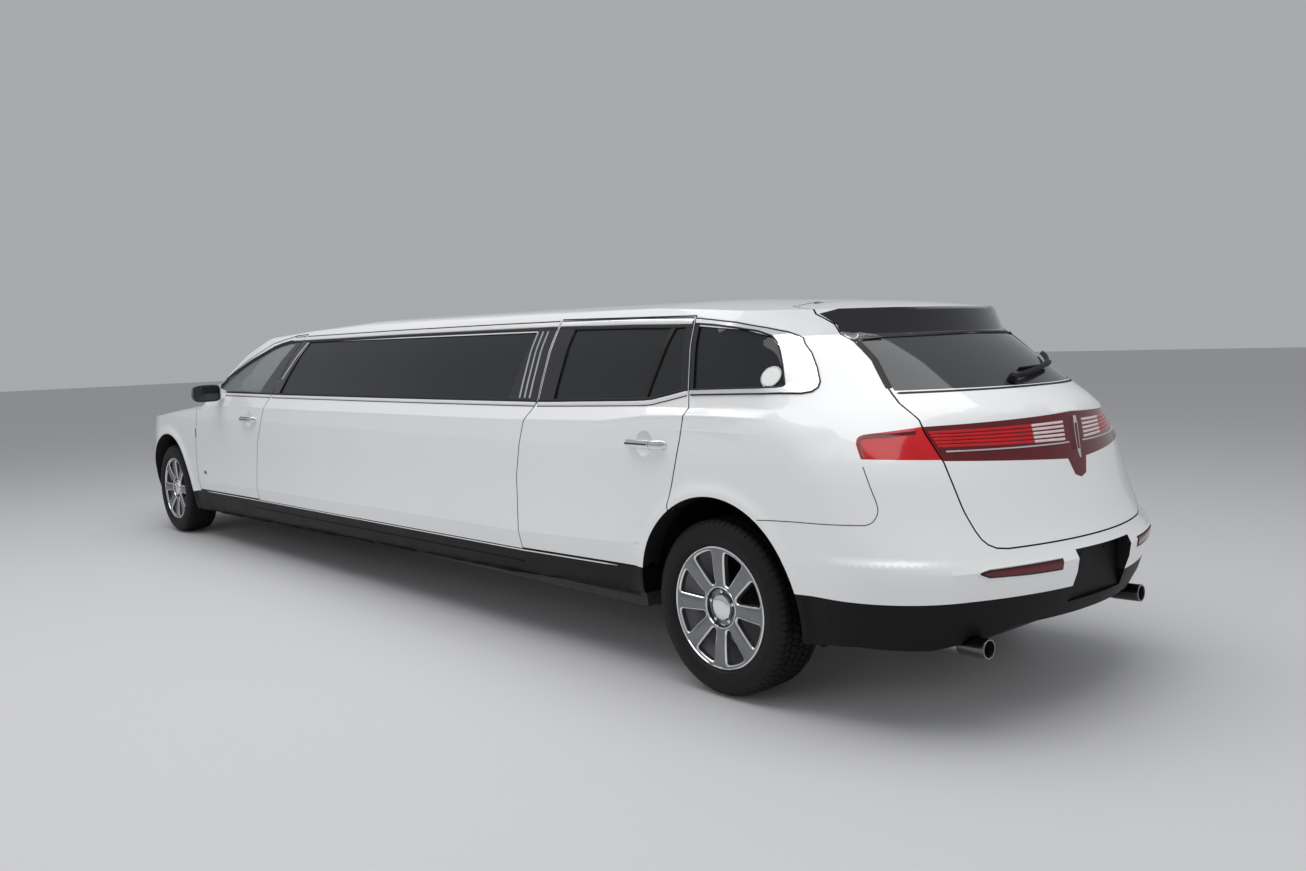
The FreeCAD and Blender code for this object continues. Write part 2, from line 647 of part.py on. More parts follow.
def make_rim(label, axle_rule, side):
    """Rim: barrel with flanges, dished disc and hub, with the gaps between spokes cut."""
    body = DOC.addObject("PartDesign::Body", label)
    body.Label = label
    sketch = profile(body, label + "_section", "XZ_Plane", [
        corner("", -2, "rim_radius", -17),
        corner("", -2, "rim_radius", 0),
        corner("", -9, "rim_radius", 0),
        corner("", -9, "rim_radius", -14.5),
        corner("-tyre_width", 20, "rim_radius", -14.5),
        corner("-tyre_width", 20, "rim_radius", 0),
        corner("-tyre_width", 13, "rim_radius", 0),
        corner("-tyre_width", 13, "rim_radius", -24),
        corner("", -52, "rim_radius", -26),
        corner("", -40, "rim_radius", -60),
        corner("", -40, "hub_radius", 20),
        corner("", -66, "hub_radius", 4),
        corner("", -66, "", 34),
        corner("", -12, "", 34),
        corner("", -12, "hub_radius", 10),
        corner("", -20, "hub_radius", 30),
    ])
    revolve(body, sketch, label + "_turned")
    DOC.recompute()
    gap = profile(body, label + "_gap", "YZ_Plane", [
        corner("", -13, "hub_radius", 38),
        corner("", 13, "hub_radius", 38),
        corner("", 44, "rim_radius", -44),
        corner("", 36, "rim_radius", -34),
        corner("", -36, "rim_radius", -34),
        corner("", -44, "rim_radius", -44),
    ])
    cut = body.newObject("PartDesign::Pocket", label + "_window")
    cut.Profile = gap
    cut.Type = "ThroughAll"
    cut.Midplane = True
    body.Tip = cut
    DOC.recompute()
    ring = body.newObject("PartDesign::PolarPattern", label + "_windows")
    ring.Originals = [cut]
    ring.Axis = (gap, ["N_Axis"])
    ring.Angle = 360
    ring.Occurrences = int(size("spoke_count"))
    body.Tip = ring
    place_wheel(body, axle_rule, side)


for end, axle_rule in (("front", FRONT_AXLE), ("rear", REAR_AXLE)):
    for side, name in side_names.items():
        make_tyre(f"{name}_{end}_tyre", axle_rule, side)
        make_rim(f"{name}_{end}_wheel", axle_rule, side)
DOC.recompute()


hub_z = size("tyre_radius")
hub_face = size("wheel_face") - 66
kingpin = size("kingpin_offset")
snug = size("seat_clearance")
for side, name in side_names.items():
    centre = Vector(front_axle, side * kingpin, hub_z)
    hub = tube(Vector(front_axle, side * 700, hub_z),
               Vector(front_axle, side * (hub_face - snug), hub_z), size("hub_radius"))
    upright = Part.makeBox(70, 60, 250, Vector(front_axle - 35, side * kingpin - 30, hub_z - 110))
    arm = tube(Vector(front_axle, side * kingpin, hub_z - 40),
               Vector(front_axle - 130, side * (kingpin - 20), hub_z - 40), 14)
    keep(name + "_knuckle", hub.fuse(upright).fuse(arm).removeSplitter())

# Front subframe: crossmember, lower arms up to the ball joints, struts above the uprights
member = slab(front_axle - 260, front_axle + 220, 215, 262, -400, 400)
subframe = member
for side in (LEFT, RIGHT):
    arm = tube(Vector(front_axle - 180, side * 395, 238),
               Vector(front_axle - 4, side * kingpin, 238), 18)
    brace = tube(Vector(front_axle + 150, side * 395, 238),
                 Vector(front_axle + 4, side * kingpin, 238), 18)
    seat = tube(Vector(front_axle, side * kingpin, 214),
                Vector(front_axle, side * kingpin, hub_z - 110 - snug), 26)
    subframe = subframe.fuse(arm).fuse(brace).fuse(seat)
keep("front_subframe", subframe.removeSplitter())

arch_z = size("arch_centre_height")
wall = size("housing_thickness")
well_radius = size("arch_radius") + wall
strut_y = size("strut_offset")
strut_low = hub_z + 140 + snug
struts = []
for side in (LEFT, RIGHT):
    foot_y = sorted((side * (strut_y - 26), side * (kingpin + 26)))
    foot = slab(front_axle - 24, front_axle + 24, strut_low, strut_low + 30, *foot_y)
    column = tube(Vector(front_axle, side * strut_y, strut_low),
                  Vector(front_axle, side * strut_y, arch_z + well_radius + 40), 26)
    struts.append(foot.fuse(column).removeSplitter())

# Rear axle: cross tube, hubs, trailing arms and springs
rear_floor = size("rear_floor_height")
axle_tube = tube(Vector(rear_axle, -700, hub_z), Vector(rear_axle, 700, hub_z),
                 size("axle_tube_radius"))
rear_unit = axle_tube
for side in (LEFT, RIGHT):
    hub = tube(Vector(rear_axle, side * 690, hub_z),
               Vector(rear_axle, side * (hub_face - snug), hub_z), size("hub_radius"))
    trailing = tube(Vector(rear_axle, side * 420, hub_z),
                    Vector(rear_axle + 640, side * 420, 220), 28)
    mount = tube(Vector(rear_axle + 640, side * 420, 190),
                 Vector(rear_axle + 640, side * 420, size("floor_bottom")), 32)
    spring = tube(Vector(rear_axle, side * 400, hub_z), Vector(rear_axle, side * 400, rear_floor),
                  52)
    rear_unit = rear_unit.fuse(hub).fuse(trailing).fuse(mount).fuse(spring)
keep("rear_axle", rear_unit.removeSplitter())

# ---------------------------------------------------------------- floor and below
floor_bottom = size("floor_bottom")
plate = size("floor_thickness")
floor_top = floor_bottom + plate
well_inner = size("well_inner")
riser = rear_axle + 570
bulkhead_x = front_axle - size("bulkhead")
cabin_form = body_form(size("wall_low") + snug, 80)
housings = None
wells = None
for axle in (rear_axle, front_axle):
    for side in (LEFT, RIGHT):
        inner_end = Vector(axle, side * well_inner, arch_z)
        outer_end = Vector(axle, side * half_width, arch_z)
        space = tube(inner_end + Vector(0, side * wall, 0), outer_end, size("arch_radius"))
        below = slab(axle - 700, axle + 700, -200, floor_bottom)
        housing = tube(inner_end, outer_end, well_radius).cut(space).cut(below)
        well = tube(inner_end + Vector(0, -side * snug, 0), outer_end, well_radius + snug)
        housings = housing if housings is None else housings.fuse(housing)
        wells = well if wells is None else wells.fuse(well)
axle_passage = tube(Vector(rear_axle, -600, hub_z), Vector(rear_axle, 600, hub_z),
                    size("axle_tube_radius") + 12)
housings = housings.cut(axle_passage).cut(struts[0]).cut(struts[1])
keep("wheel_housings", housings.common(cabin_form))
keep("front_struts", struts[0].fuse(struts[1]))

floor = slab(riser, bulkhead_x + plate, floor_bottom, floor_top)
floor = floor.fuse(slab(rear_axle - 1300, riser + plate, rear_floor, rear_floor + plate))
floor = floor.fuse(slab(riser, riser + plate, floor_bottom, rear_floor + plate))
floor = floor.fuse(slab(bulkhead_x, bulkhead_x + plate, floor_bottom, 1120))
for side in (LEFT, RIGHT):
    rail = slab(bulkhead_x, front_axle + 860, 262, 350, side * 400 - 40, side * 400 + 40)
    rear_rail = slab(rear_axle - 1000, riser + plate, rear_floor - plate, rear_floor,
                     side * 300 - 35, side * 300 + 35)
    floor = floor.fuse(rail).fuse(rear_rail)
for side in (LEFT, RIGHT):
    for pad_x in (front_axle - 900, rear_axle + 900):
        floor = floor.fuse(slab(pad_x - 45, pad_x + 45, floor_bottom - size("jack_pad_height"),
                                floor_bottom, side * 750 - 30, side * 750 + 30))
floor = floor.common(cabin_form).cut(wells)
hood_seat = slab(bulkhead_x + 12, bulkhead_x + plate, 900, 1200, -600, 600).common(hood_inner)
hood_seat.translate(Vector(0, 0, -snug))
keep("floor_pan", floor.fuse(hood_seat).removeSplitter())

# Hinges: round knuckles beside each door's inner edge, plates behind the roof's rear face
KNUCKLE = 7.5
hinge_parts = []
for face_x, door_x, heights in (
        (front_axle - 625, front_axle - 631 - size("door_rebate"), (480, 620)),
        (rear_axle + 1392, rear_axle + 1386 - size("door_rebate"), (520, 740))):
    pin_x = door_x + snug + KNUCKLE
    for side in (LEFT, RIGHT):
        leaf_y = sorted((side * 896, side * 918))
        for low in heights:
            leaf = slab(pin_x + 2, face_x, low, low + 60, *leaf_y)
            pin = tube(Vector(pin_x, side * 908, low), Vector(pin_x, side * 908, low + 60), KNUCKLE)
            hinge_parts.append(leaf.fuse(pin).removeSplitter())
for side in (LEFT, RIGHT):
    plate_y = sorted((side * 370, side * 430))
    hinge_parts.append(slab(gate_front - door_gap + snug, gate_front + door_gap, 1595, 1615,
                            *plate_y))
keep("hinges", Part.makeCompound(hinge_parts))


def bound_box(label, x, y, z, length, breadth, height, x_from=""):
    """Box whose sizes and place are bound to sheet expressions."""
    box = DOC.addObject("Part::Box", label)
    box.Label = label
    box.setExpression("Length", str(length))
    box.setExpression("Width", str(breadth))
    box.setExpression("Height", str(height))
    box.setExpression(".Placement.Base.x", f"{x_from} + {x}" if x_from else str(x))
    box.setExpression(".Placement.Base.y", f"{y}")
    box.setExpression(".Placement.Base.z", f"{z}")
    pieces.append(box)
    return box


FLOOR_TOP = "sizes.floor_bottom + sizes.floor_thickness"
bound_box("engine", -330, -330, 262, 620, 660, 520, FRONT_AXLE)
bound_box("fuel_tank", 760, 60, "sizes.floor_bottom - 90", 900, 480, 90, REAR_AXLE)
bound_box("partition", -2560, -760, FLOOR_TOP, 60, 1520, 800, FRONT_AXLE)
bound_box("bar_cabinet", -5200, -800, FLOOR_TOP, 2300, 380, 430, FRONT_AXLE)
bound_box("dashboard", "-1020", -740, 770, "1020 - sizes.bulkhead", 1480, 205, FRONT_AXLE)
bound_box("lounge_seat", 620, -600, FLOOR_TOP, 600, 1200, 420, REAR_AXLE)
seats = None
for side in (LEFT, RIGHT):
    seat_x = front_axle - 2240
    cushion = slab(seat_x, seat_x + 520, floor_top, floor_top + 330, side * 380 - 250,
                   side * 380 + 250)
    back = slab(seat_x - 110, seat_x + 30, floor_top + 250, floor_top + 860, side * 380 - 240,
                side * 380 + 240)
    head = slab(seat_x - 95, seat_x - 5, floor_top + 860, floor_top + 1040, side * 380 - 130,
                side * 380 + 130)
    chair = cushion.fuse(back).fuse(head).removeSplitter()
    seats = chair if seats is None else seats.fuse(chair)
keep("front_seats", seats)
wheel_hub = Vector(front_axle - 1180, 380, 960)
column_way = Vector(-0.9, 0, 0.36)
ring = Part.makeTorus(180, 14, wheel_hub + column_way * 120, column_way)
boss = Part.makeCylinder(60, 40, wheel_hub + column_way * 100, column_way)
column = Part.makeCylinder(28, 300, wheel_hub + column_way * -190, column_way)
spokes = Part.makeBox(20, 360, 20, wheel_hub + column_way * 120 + Vector(-10, -180, -10))
steering = ring.fuse(boss).fuse(spokes).fuse(column)
steering = steering.cut(slab(front_axle - 1020, front_axle, 500, 1500)).removeSplitter()
keep("steering_wheel", steering)

# Exhaust: pipe under the floor, silencer behind the axle, two tail pipes
pipe_z = floor_bottom - 30 - snug
silencer = Vector(rear_axle - 620, 0, 288)
kink = Vector(rear_axle + 300, 0, pipe_z)
exhaust = tube(Vector(front_axle - 500, 0, pipe_z), kink, 30).fuse(Part.makeSphere(30, kink))
exhaust = exhaust.fuse(tube(kink, silencer, 30))
exhaust = exhaust.fuse(tube(silencer + Vector(0, -380, 0), silencer + Vector(0, 380, 0), 80))
for side, tip_front, tip_end in tail_pipes:
    outlet = silencer + Vector(0, side * 300, 0)
    hanger = tube(outlet, Vector(outlet.x, outlet.y, rear_floor - plate), 10)
    exhaust = exhaust.fuse(tube(outlet, tip_front, 28)).fuse(Part.makeSphere(28, tip_front))
    exhaust = exhaust.fuse(tube(tip_front, tip_end, TIP_RADIUS)).fuse(hanger)
    bore_start = tip_end + (tip_front - tip_end) * 0.7
    exhaust = exhaust.cut(tube(bore_start, tip_end, TIP_RADIUS - 4))
keep("exhaust_system", exhaust.removeSplitter())

for side, name in side_names.items():
    arm = tube(Vector(front_axle - 1140, side * 860, 1150),
               Vector(front_axle - 1160, side * 1000, 1168), 24)
    head = slab(front_axle - 1240, front_axle - 1110, 1132, 1262,
                min(side * 955, side * 1165), max(side * 955, side * 1165))
    head = head.makeFillet(28, head.Edges)
    keep(name + "_mirror", arm.fuse(head).cut(outer_form).removeSplitter())

# ---------------------------------------------------------------- write
DOC.recompute()
for item in DOC.Objects:
    if "Invalid" in item.State or "Error" in item.State:
        raise RuntimeError(f"{item.Label}: {item.State}")
for piece in pieces:
    if piece.Shape.isNull() or not piece.Shape.Solids or not piece.Shape.isValid():
        raise RuntimeError(f"{piece.Label} has no valid solid")
os.makedirs("parts", exist_ok=True)
for piece in pieces:
    piece.Shape.exportStep("parts/" + piece.Label + ".step")
    print(piece.Label, len(piece.Shape.Solids), "solids")
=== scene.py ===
"""Looks of the stretch limousine: smoothed and creased body skins, trim, lamps, wheels,
cabin, studio light and camera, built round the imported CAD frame."""
import json
import math
from itertools import product

import bpy
import numpy as np
from mathutils import Matrix, Vector
from mathutils.bvhtree import BVHTree


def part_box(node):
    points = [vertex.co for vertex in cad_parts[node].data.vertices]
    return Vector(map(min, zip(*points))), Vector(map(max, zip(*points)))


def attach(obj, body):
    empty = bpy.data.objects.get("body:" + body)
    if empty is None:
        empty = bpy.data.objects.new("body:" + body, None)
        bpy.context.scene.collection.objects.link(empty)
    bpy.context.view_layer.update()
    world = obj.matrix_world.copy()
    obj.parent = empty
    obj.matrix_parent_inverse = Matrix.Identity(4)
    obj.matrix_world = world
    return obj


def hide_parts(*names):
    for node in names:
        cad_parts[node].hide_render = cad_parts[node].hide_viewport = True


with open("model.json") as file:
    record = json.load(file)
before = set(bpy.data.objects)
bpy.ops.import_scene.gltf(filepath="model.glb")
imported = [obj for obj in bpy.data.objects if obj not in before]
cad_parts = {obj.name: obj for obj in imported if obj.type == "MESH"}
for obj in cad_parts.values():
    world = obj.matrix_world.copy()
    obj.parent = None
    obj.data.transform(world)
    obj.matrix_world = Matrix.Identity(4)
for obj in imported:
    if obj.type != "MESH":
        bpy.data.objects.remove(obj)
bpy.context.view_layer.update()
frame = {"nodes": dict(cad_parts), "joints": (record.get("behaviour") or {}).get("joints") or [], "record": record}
nodes = frame["nodes"]
joint_place = {j["name"]: j["pos_m"] for j in frame["joints"]}
body_of = {n: b for b, group in frame["record"]["behaviour"]["bodies"].items() for n in group}
REAR = joint_place["left_rear_wheel_spin"][0]
FRONT = joint_place["left_front_wheel_spin"][0]
AXLE_HEIGHT = joint_place["left_rear_wheel_spin"][2]
SIDES = ((1, "left"), (-1, "right"))

# ---------------------------------------------------------------- camera
YAW, PITCH, ROLL = (math.radians(a) for a in (-41.148, -4.7985, -1.966))
ahead = Vector((math.cos(YAW) * math.cos(PITCH), math.sin(YAW) * math.cos(PITCH), math.sin(PITCH)))
level_right = Vector((math.sin(YAW), -math.cos(YAW), 0))
level_up = level_right.cross(ahead)
right = math.cos(ROLL) * level_right + math.sin(ROLL) * level_up
up = -math.sin(ROLL) * level_right + math.cos(ROLL) * level_up
lens = bpy.data.cameras.new("camera")
lens.sensor_width = 36
lens.lens = 36 * 1123.96 / 1306
lens.clip_end = 200
camera = bpy.data.objects.new("camera", lens)
turn = Matrix((right, up, -ahead)).transposed().to_4x4()
camera.matrix_world = Matrix.Translation((REAR - 3.26655, 4.11685, 1.47511)) @ turn
bpy.context.scene.collection.objects.link(camera)
bpy.context.scene.camera = camera


# ---------------------------------------------------------------- materials
def material(name, colour, roughness=0.4, metallic=0.0, coat=0.0, tone=0.0, tone_scale=8.0,
             bump=0.0, bump_scale=200.0, wear=0.0, alpha=1.0, specular=0.5, sheen=0.0):
    """Principled finish whose colour, roughness and relief vary with noise over the piece."""
    m = bpy.data.materials.new(name)
    m.use_nodes = True
    tree = m.node_tree
    shader = tree.nodes["Principled BSDF"]
    place = tree.nodes.new("ShaderNodeTexCoord")
    noise = tree.nodes.new("ShaderNodeTexNoise")
    noise.inputs["Scale"].default_value = tone_scale
    noise.inputs["Detail"].default_value = 4
    tree.links.new(place.outputs["Object"], noise.inputs["Vector"])
    ramp = tree.nodes.new("ShaderNodeValToRGB")
    for stop, shade in zip(ramp.color_ramp.elements, (1 - tone, 1 + tone)):
        stop.color = [min(1, c * shade) for c in colour] + [1]
    ramp.color_ramp.elements[0].position = 0.3
    ramp.color_ramp.elements[1].position = 0.7
    tree.links.new(noise.outputs["Fac"], ramp.inputs["Fac"])
    tree.links.new(ramp.outputs["Color"], shader.inputs["Base Color"])
    if wear:
        spread = tree.nodes.new("ShaderNodeMapRange")
        spread.inputs["To Min"].default_value = max(0, roughness - wear)
        spread.inputs["To Max"].default_value = roughness + wear
        tree.links.new(noise.outputs["Fac"], spread.inputs["Value"])
        tree.links.new(spread.outputs["Result"], shader.inputs["Roughness"])
    for socket, value in (("Roughness", roughness), ("Metallic", metallic), ("Coat Weight", coat),
                          ("Coat Roughness", 0.03), ("Alpha", alpha), ("IOR", 1.5),
                          ("Specular IOR Level", specular), ("Sheen Weight", sheen)):
        shader.inputs[socket].default_value = value
    if bump:
        grain = tree.nodes.new("ShaderNodeTexNoise")
        grain.inputs["Scale"].default_value = bump_scale
        grain.inputs["Detail"].default_value = 3
        relief = tree.nodes.new("ShaderNodeBump")
        relief.inputs["Strength"].default_value = 1.0
        relief.inputs["Distance"].default_value = bump
        tree.links.new(place.outputs["Object"], grain.inputs["Vector"])
        tree.links.new(grain.outputs["Fac"], relief.inputs["Height"])
        tree.links.new(relief.outputs["Normal"], shader.inputs["Normal"])
    return m


PAINT = material("paint_white", (0.84, 0.845, 0.84), 0.32, coat=1.0, tone=0.012, tone_scale=1.5,
                 bump=0.00004, bump_scale=90)
BLACK = material("plastic_black", (0.0035, 0.0038, 0.0045), 0.5, tone=0.25, bump=0.00015,
                 bump_scale=900, wear=0.08, specular=0.2)
GLOSS = material("gloss_black", (0.006, 0.006, 0.007), 0.08, coat=0.6, tone=0.2, wear=0.03)
# Black rubber of the seals; also painted as shade on the walls of shut lines and along joint lines
SEAL_AND_GAP_SHADE = material("rubber_seal_and_gap_shade", (0.006, 0.006, 0.006), 0.6, tone=0.3, bump=0.0001, bump_scale=600)
PRIVACY = material("glass_privacy", (0.016, 0.017, 0.018), 0.03, tone=0.15, tone_scale=0.8,
                   alpha=0.94, wear=0.01)
REAR_GLASS = material("glass_rear", (0.045, 0.047, 0.052), 0.05, tone=0.2, tone_scale=0.8,
                      alpha=0.95, wear=0.01)
CLEAR = material("glass_clear", (0.33, 0.37, 0.355), 0.02, tone=0.05, alpha=0.42)
LENS = material("lens_clear", (0.75, 0.77, 0.78), 0.03, tone=0.03, alpha=0.28)
CHROME = material("chrome", (0.86, 0.87, 0.88), 0.07, metallic=1.0, tone=0.03, wear=0.02)
SATIN = material("satin_trim", (0.88, 0.89, 0.90), 0.26, metallic=0.7, tone=0.03, wear=0.05)
BRIGHT = material("bright_strip", (0.93, 0.93, 0.93), 0.22, metallic=0.45, tone=0.03, wear=0.04)
ALLOY = material("alloy_face", (0.23, 0.235, 0.24), 0.24, metallic=1.0, tone=0.06,
                 tone_scale=30, bump=0.00003, bump_scale=500, wear=0.05)
ALLOY_SHADE = material("alloy_shade", (0.16, 0.16, 0.165), 0.4, metallic=0.8, tone=0.1, wear=0.06)
BARREL = material("alloy_barrel", (0.92, 0.92, 0.93), 0.22, metallic=0.6, tone=0.03, wear=0.04)
TYRE = material("tyre_rubber", (0.0075, 0.0075, 0.0075), 0.62, tone=0.3, tone_scale=25,
                bump=0.0002, bump_scale=700, wear=0.08, specular=0.28)
RED = material("lamp_red", (0.52, 0.006, 0.010), 0.12, coat=0.35, tone=0.10, tone_scale=12,
               specular=0.35)
DARK_RED = material("lamp_dark_red", (0.11, 0.003, 0.006), 0.12, coat=0.4, tone=0.15,
                    tone_scale=14, specular=0.35)
PINK = material("lamp_clear_ribs", (0.82, 0.62, 0.62), 0.12, coat=0.8, tone=0.1, tone_scale=40)
STEEL = material("steel_dark", (0.045, 0.045, 0.048), 0.5, metallic=0.4, tone=0.25,
                 bump=0.0003, bump_scale=120, wear=0.1)
IRON = material("iron_cast", (0.12, 0.12, 0.12), 0.7, metallic=0.7, tone=0.2, bump=0.0006,
                bump_scale=160, wear=0.1)
MIRROR = material("mirror_dark", (0.06, 0.065, 0.07), 0.05, metallic=0.9, tone=0.05, wear=0.02)
TIP = material("tail_pipe_tip", (0.16, 0.16, 0.16), 0.22, metallic=1.0, tone=0.12, wear=0.08)
SOOT = material("tail_pipe_soot", (0.004, 0.004, 0.004), 0.9, tone=0.3)
TANK = material("fuel_tank_plastic", (0.018, 0.018, 0.02), 0.55, tone=0.2, bump=0.0004,
                bump_scale=300)
PIPE = material("steel_pipe", (0.38, 0.37, 0.35), 0.34, metallic=1.0, tone=0.15, wear=0.1)
LEATHER = material("leather_black", (0.022, 0.021, 0.02), 0.42, tone=0.15, tone_scale=20,
                   bump=0.0005, bump_scale=420, wear=0.08)
TRIM = material("cabin_trim", (0.05, 0.05, 0.052), 0.55, tone=0.15, bump=0.0003, bump_scale=500)
CARPET = material("carpet_dark", (0.02, 0.02, 0.021), 0.95, tone=0.35, tone_scale=60, bump=0.002,
                  bump_scale=420, sheen=0.4)
WOOD = material("cabinet_lacquer", (0.05, 0.018, 0.008), 0.12, coat=0.8, tone=0.5, tone_scale=6)
STICKER = material("sticker_white", (0.8, 0.8, 0.79), 0.35, tone=0.03, bump=0.00002)


# Material slot of a finish wherever a piece doesn't name its own
FINISHES_OF_SLOT = {
    "black_plastic": (BLACK, GLOSS, SEAL_AND_GAP_SHADE, MIRROR), "bright_alloy": (CHROME, SATIN, BRIGHT, BARREL),
    "white_paint": (PAINT, STICKER), "lamp_red": (RED, DARK_RED), "clear_glass": (PINK,),
    "steel_pipe": (TIP, SOOT), "cabinet_panel": (WOOD,), "seat_leather": (LEATHER, TRIM)}
USUAL_SLOT = {m.name: slot for slot, finishes in FINISHES_OF_SLOT.items() for m in finishes}
X_AXIS, Y_AXIS, Z_AXIS = Vector((1, 0, 0)), Vector((0, 1, 0)), Vector((0, 0, 1))


# ---------------------------------------------------------------- mesh helpers
def linked(name, data):
    """New object in the scene."""
    piece = bpy.data.objects.new(name, data)
    bpy.context.scene.collection.objects.link(piece)
    return piece


def add_mesh(name, points, faces, finish, body, slot=None, replaces=(), angle=35, finishes=(),
             indices=None):
    """Piece of the given finish that rides on a body; angle is where its shading turns sharp."""
    slot = slot or USUAL_SLOT[finish.name]
    mesh = bpy.data.meshes.new(name)
    mesh.from_pydata([tuple(p) for p in points], [], [tuple(f) for f in faces])
    mesh.validate()
    for m in (finish, *finishes):
        mesh.materials.append(m)
    if indices is not None:
        mesh.polygons.foreach_set("material_index", indices)
    mesh.shade_smooth()
    mesh.set_sharp_from_angle(angle=math.radians(angle))
    mesh.update()
    piece = linked(name, mesh)
    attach(piece, body)
    if replaces:
        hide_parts(*replaces)
    return piece


def join(parts):
    """Several (points, faces) as one."""
    points, faces = [], []
    for some_points, some_faces in parts:
        start = len(points)
        points.extend(some_points)
        faces.extend([[i + start for i in f] for f in some_faces])
    return points, faces


def bevelled(piece, width, segments=2):
    soft = piece.modifiers.new("soft_edges", "BEVEL")
    soft.width = width
    soft.segments = segments
    soft.limit_method = "ANGLE"
    return piece


def unit(v):
    return v / np.maximum(np.linalg.norm(v, axis=-1, keepdims=True), 1e-12)


def smoothstep(low, high, x):
    t = np.clip((x - low) / (high - low), 0, 1)
    return t * t * (3 - 2 * t)


# ---------------------------------------------------------------- body skins
SKINS = {
    "roof_panel": PAINT, "windscreen_surround": PAINT, "stretch_panels": PAINT,
    "quarter_panels": PAINT, "front_fenders": PAINT, "front_bumper": PAINT,
    "rear_bumper": PAINT, "hood": PAINT, "liftgate": PAINT, "left_front_door": PAINT,
    "right_front_door": PAINT, "left_rear_door": PAINT, "right_rear_door": PAINT,
    "rear_valance": BLACK, "side_skirts": BLACK, "rear_spoiler": GLOSS,
    "windscreen": CLEAR, "left_front_door_glass": CLEAR, "right_front_door_glass": CLEAR,
    "fixed_side_windows": PRIVACY, "rear_window": REAR_GLASS, "left_rear_door_glass": PRIVACY,
    "right_rear_door_glass": PRIVACY, "tail_lamps": RED, "gate_lamp": DARK_RED,
    "grille": GLOSS, "headlamps": LENS,
}
# Crease lines, (ahead of the rear axle, height)
SHOULDER = [(-0.6, 1.16), (0.1, 1.156), (0.433, 1.149), (0.713, 1.123), (1.526, 1.108),
            (3.919, 1.098), (6.2, 1.094)]
SILL_CREASE = [(0.2, 0.60), (0.55, 0.586), (1.365, 0.554), (5.894, 0.491), (6.3, 0.486)]
# Side of the CAD form, (height, inset)
SIDE_ROWS = [(0.82, 0.002), (1.0, 0.010), (1.1, 0.018), (1.15, 0.038), (1.192, 0.060),
             (1.29, 0.078)]
LEDGE_HEIGHT = 0.640
ARCH_HEIGHT, ARCH_RADIUS = 0.378, 0.458
CUPS = [(REAR + 0.419, 1.034), (REAR + 4.817, 1.010)]
CUP_RADIUS = 0.055


def line_height(line, x):
    return np.interp(x - REAR, [p[0] for p in line], [p[1] for p in line])


def shoulder_reach(x):
    """Where along the car the shoulder crease is drawn at full strength."""
    return smoothstep(-0.45, 0.05, x - REAR) * (1 - smoothstep(5.3, 5.9, x - REAR))


def relief(x, z):
    """How far the side skin stands out of the CAD form: creases, arch lips, ledge, handle cups."""
    crest = line_height(SHOULDER, x)
    flat = np.interp(z, [r[0] for r in SIDE_ROWS], [r[1] for r in SIDE_ROWS])
    below = 0.010 + 0.08 * (z - 1.0)
    at_crest = 0.010 + 0.08 * (crest - 1.0)
    above = at_crest + (0.060 - at_crest) * (z - crest) / (1.192 - crest)
    turn = smoothstep(-0.010, 0.010, z - crest)
    target = below * (1 - turn) + above * turn
    band = (z > 1.0) & (z < 1.192)
    out = np.where(band, (flat - target) * shoulder_reach(x), 0.0)

    sill = z - line_height(SILL_CREASE, x)
    rise = np.exp(-np.maximum(sill, -0.02) / 0.075)
    fall = 1 + np.minimum(sill, 0.02) / 0.075
    turn = smoothstep(-0.009, 0.009, sill)
    ends = smoothstep(0.42, 0.62, x - REAR) * (1 - smoothstep(5.75, 6.05, x - REAR))
    out += 0.0095 * (rise * turn + fall * (1 - turn)) * ends

    for axle in (REAR, FRONT):
        radius = np.hypot(x - axle, z - ARCH_HEIGHT)
        out += 0.011 * np.exp(-(np.maximum(radius - ARCH_RADIUS - 0.014, 0) / 0.030) ** 2)

    ledge = z - LEDGE_HEIGHT
    tail = 1 - smoothstep(-0.80, -0.50, x - REAR)
    shelf = np.where(ledge > 0, np.exp(-(ledge / 0.014) ** 2), np.clip(1 + ledge / 0.13, 0, 1))
    out += 0.012 * shelf * tail

    for cup_x, cup_z in CUPS:
        inside = 1 - ((x - cup_x) ** 2 + (z - cup_z) ** 2) / CUP_RADIUS ** 2
        out -= 0.017 * np.clip(inside, 0, 1) ** 0.75
    return out


def crease_distance(x, z):
    """Distance to the nearest edge of relief, which stays sharp."""
    near = np.abs(z - line_height(SHOULDER, x)) + np.where(x - REAR < 0.0, 0.1, 0)
    near = np.minimum(near, np.abs(z - line_height(SILL_CREASE, x)) +
                      np.where((x - REAR < 0.5) | (x - REAR > 6.0), 0.2, 0))
    for axle in (REAR, FRONT):
        near = np.minimum(near, np.abs(np.hypot(x - axle, z - ARCH_HEIGHT) - ARCH_RADIUS - 0.03))
    near = np.minimum(near, np.where(x - REAR < -0.5, np.abs(z - LEDGE_HEIGHT), 1))
    for cup_x, cup_z in CUPS:
        near = np.minimum(near, np.maximum(np.hypot(x - cup_x, z - cup_z) - CUP_RADIUS - 0.01, 0))
    return near


def edge_target(p):
    """Longest edge wanted at a place on the outer skin."""
    x, y, z = p.T
    near = crease_distance(x, z)
    wanted = np.clip(0.022 + 0.9 * near, 0.022, 0.125)
    for cup_x, cup_z in CUPS:
        around = np.hypot(x - cup_x, z - cup_z)
        wanted = np.where(around < 0.075, 0.006, wanted)
    side = (np.abs(y) > 0.62) & (z < 1.25) & (z > 0.3)
    top = np.where(z > 1.2, 0.110, 0.090)
    return np.where(side, wanted, top)


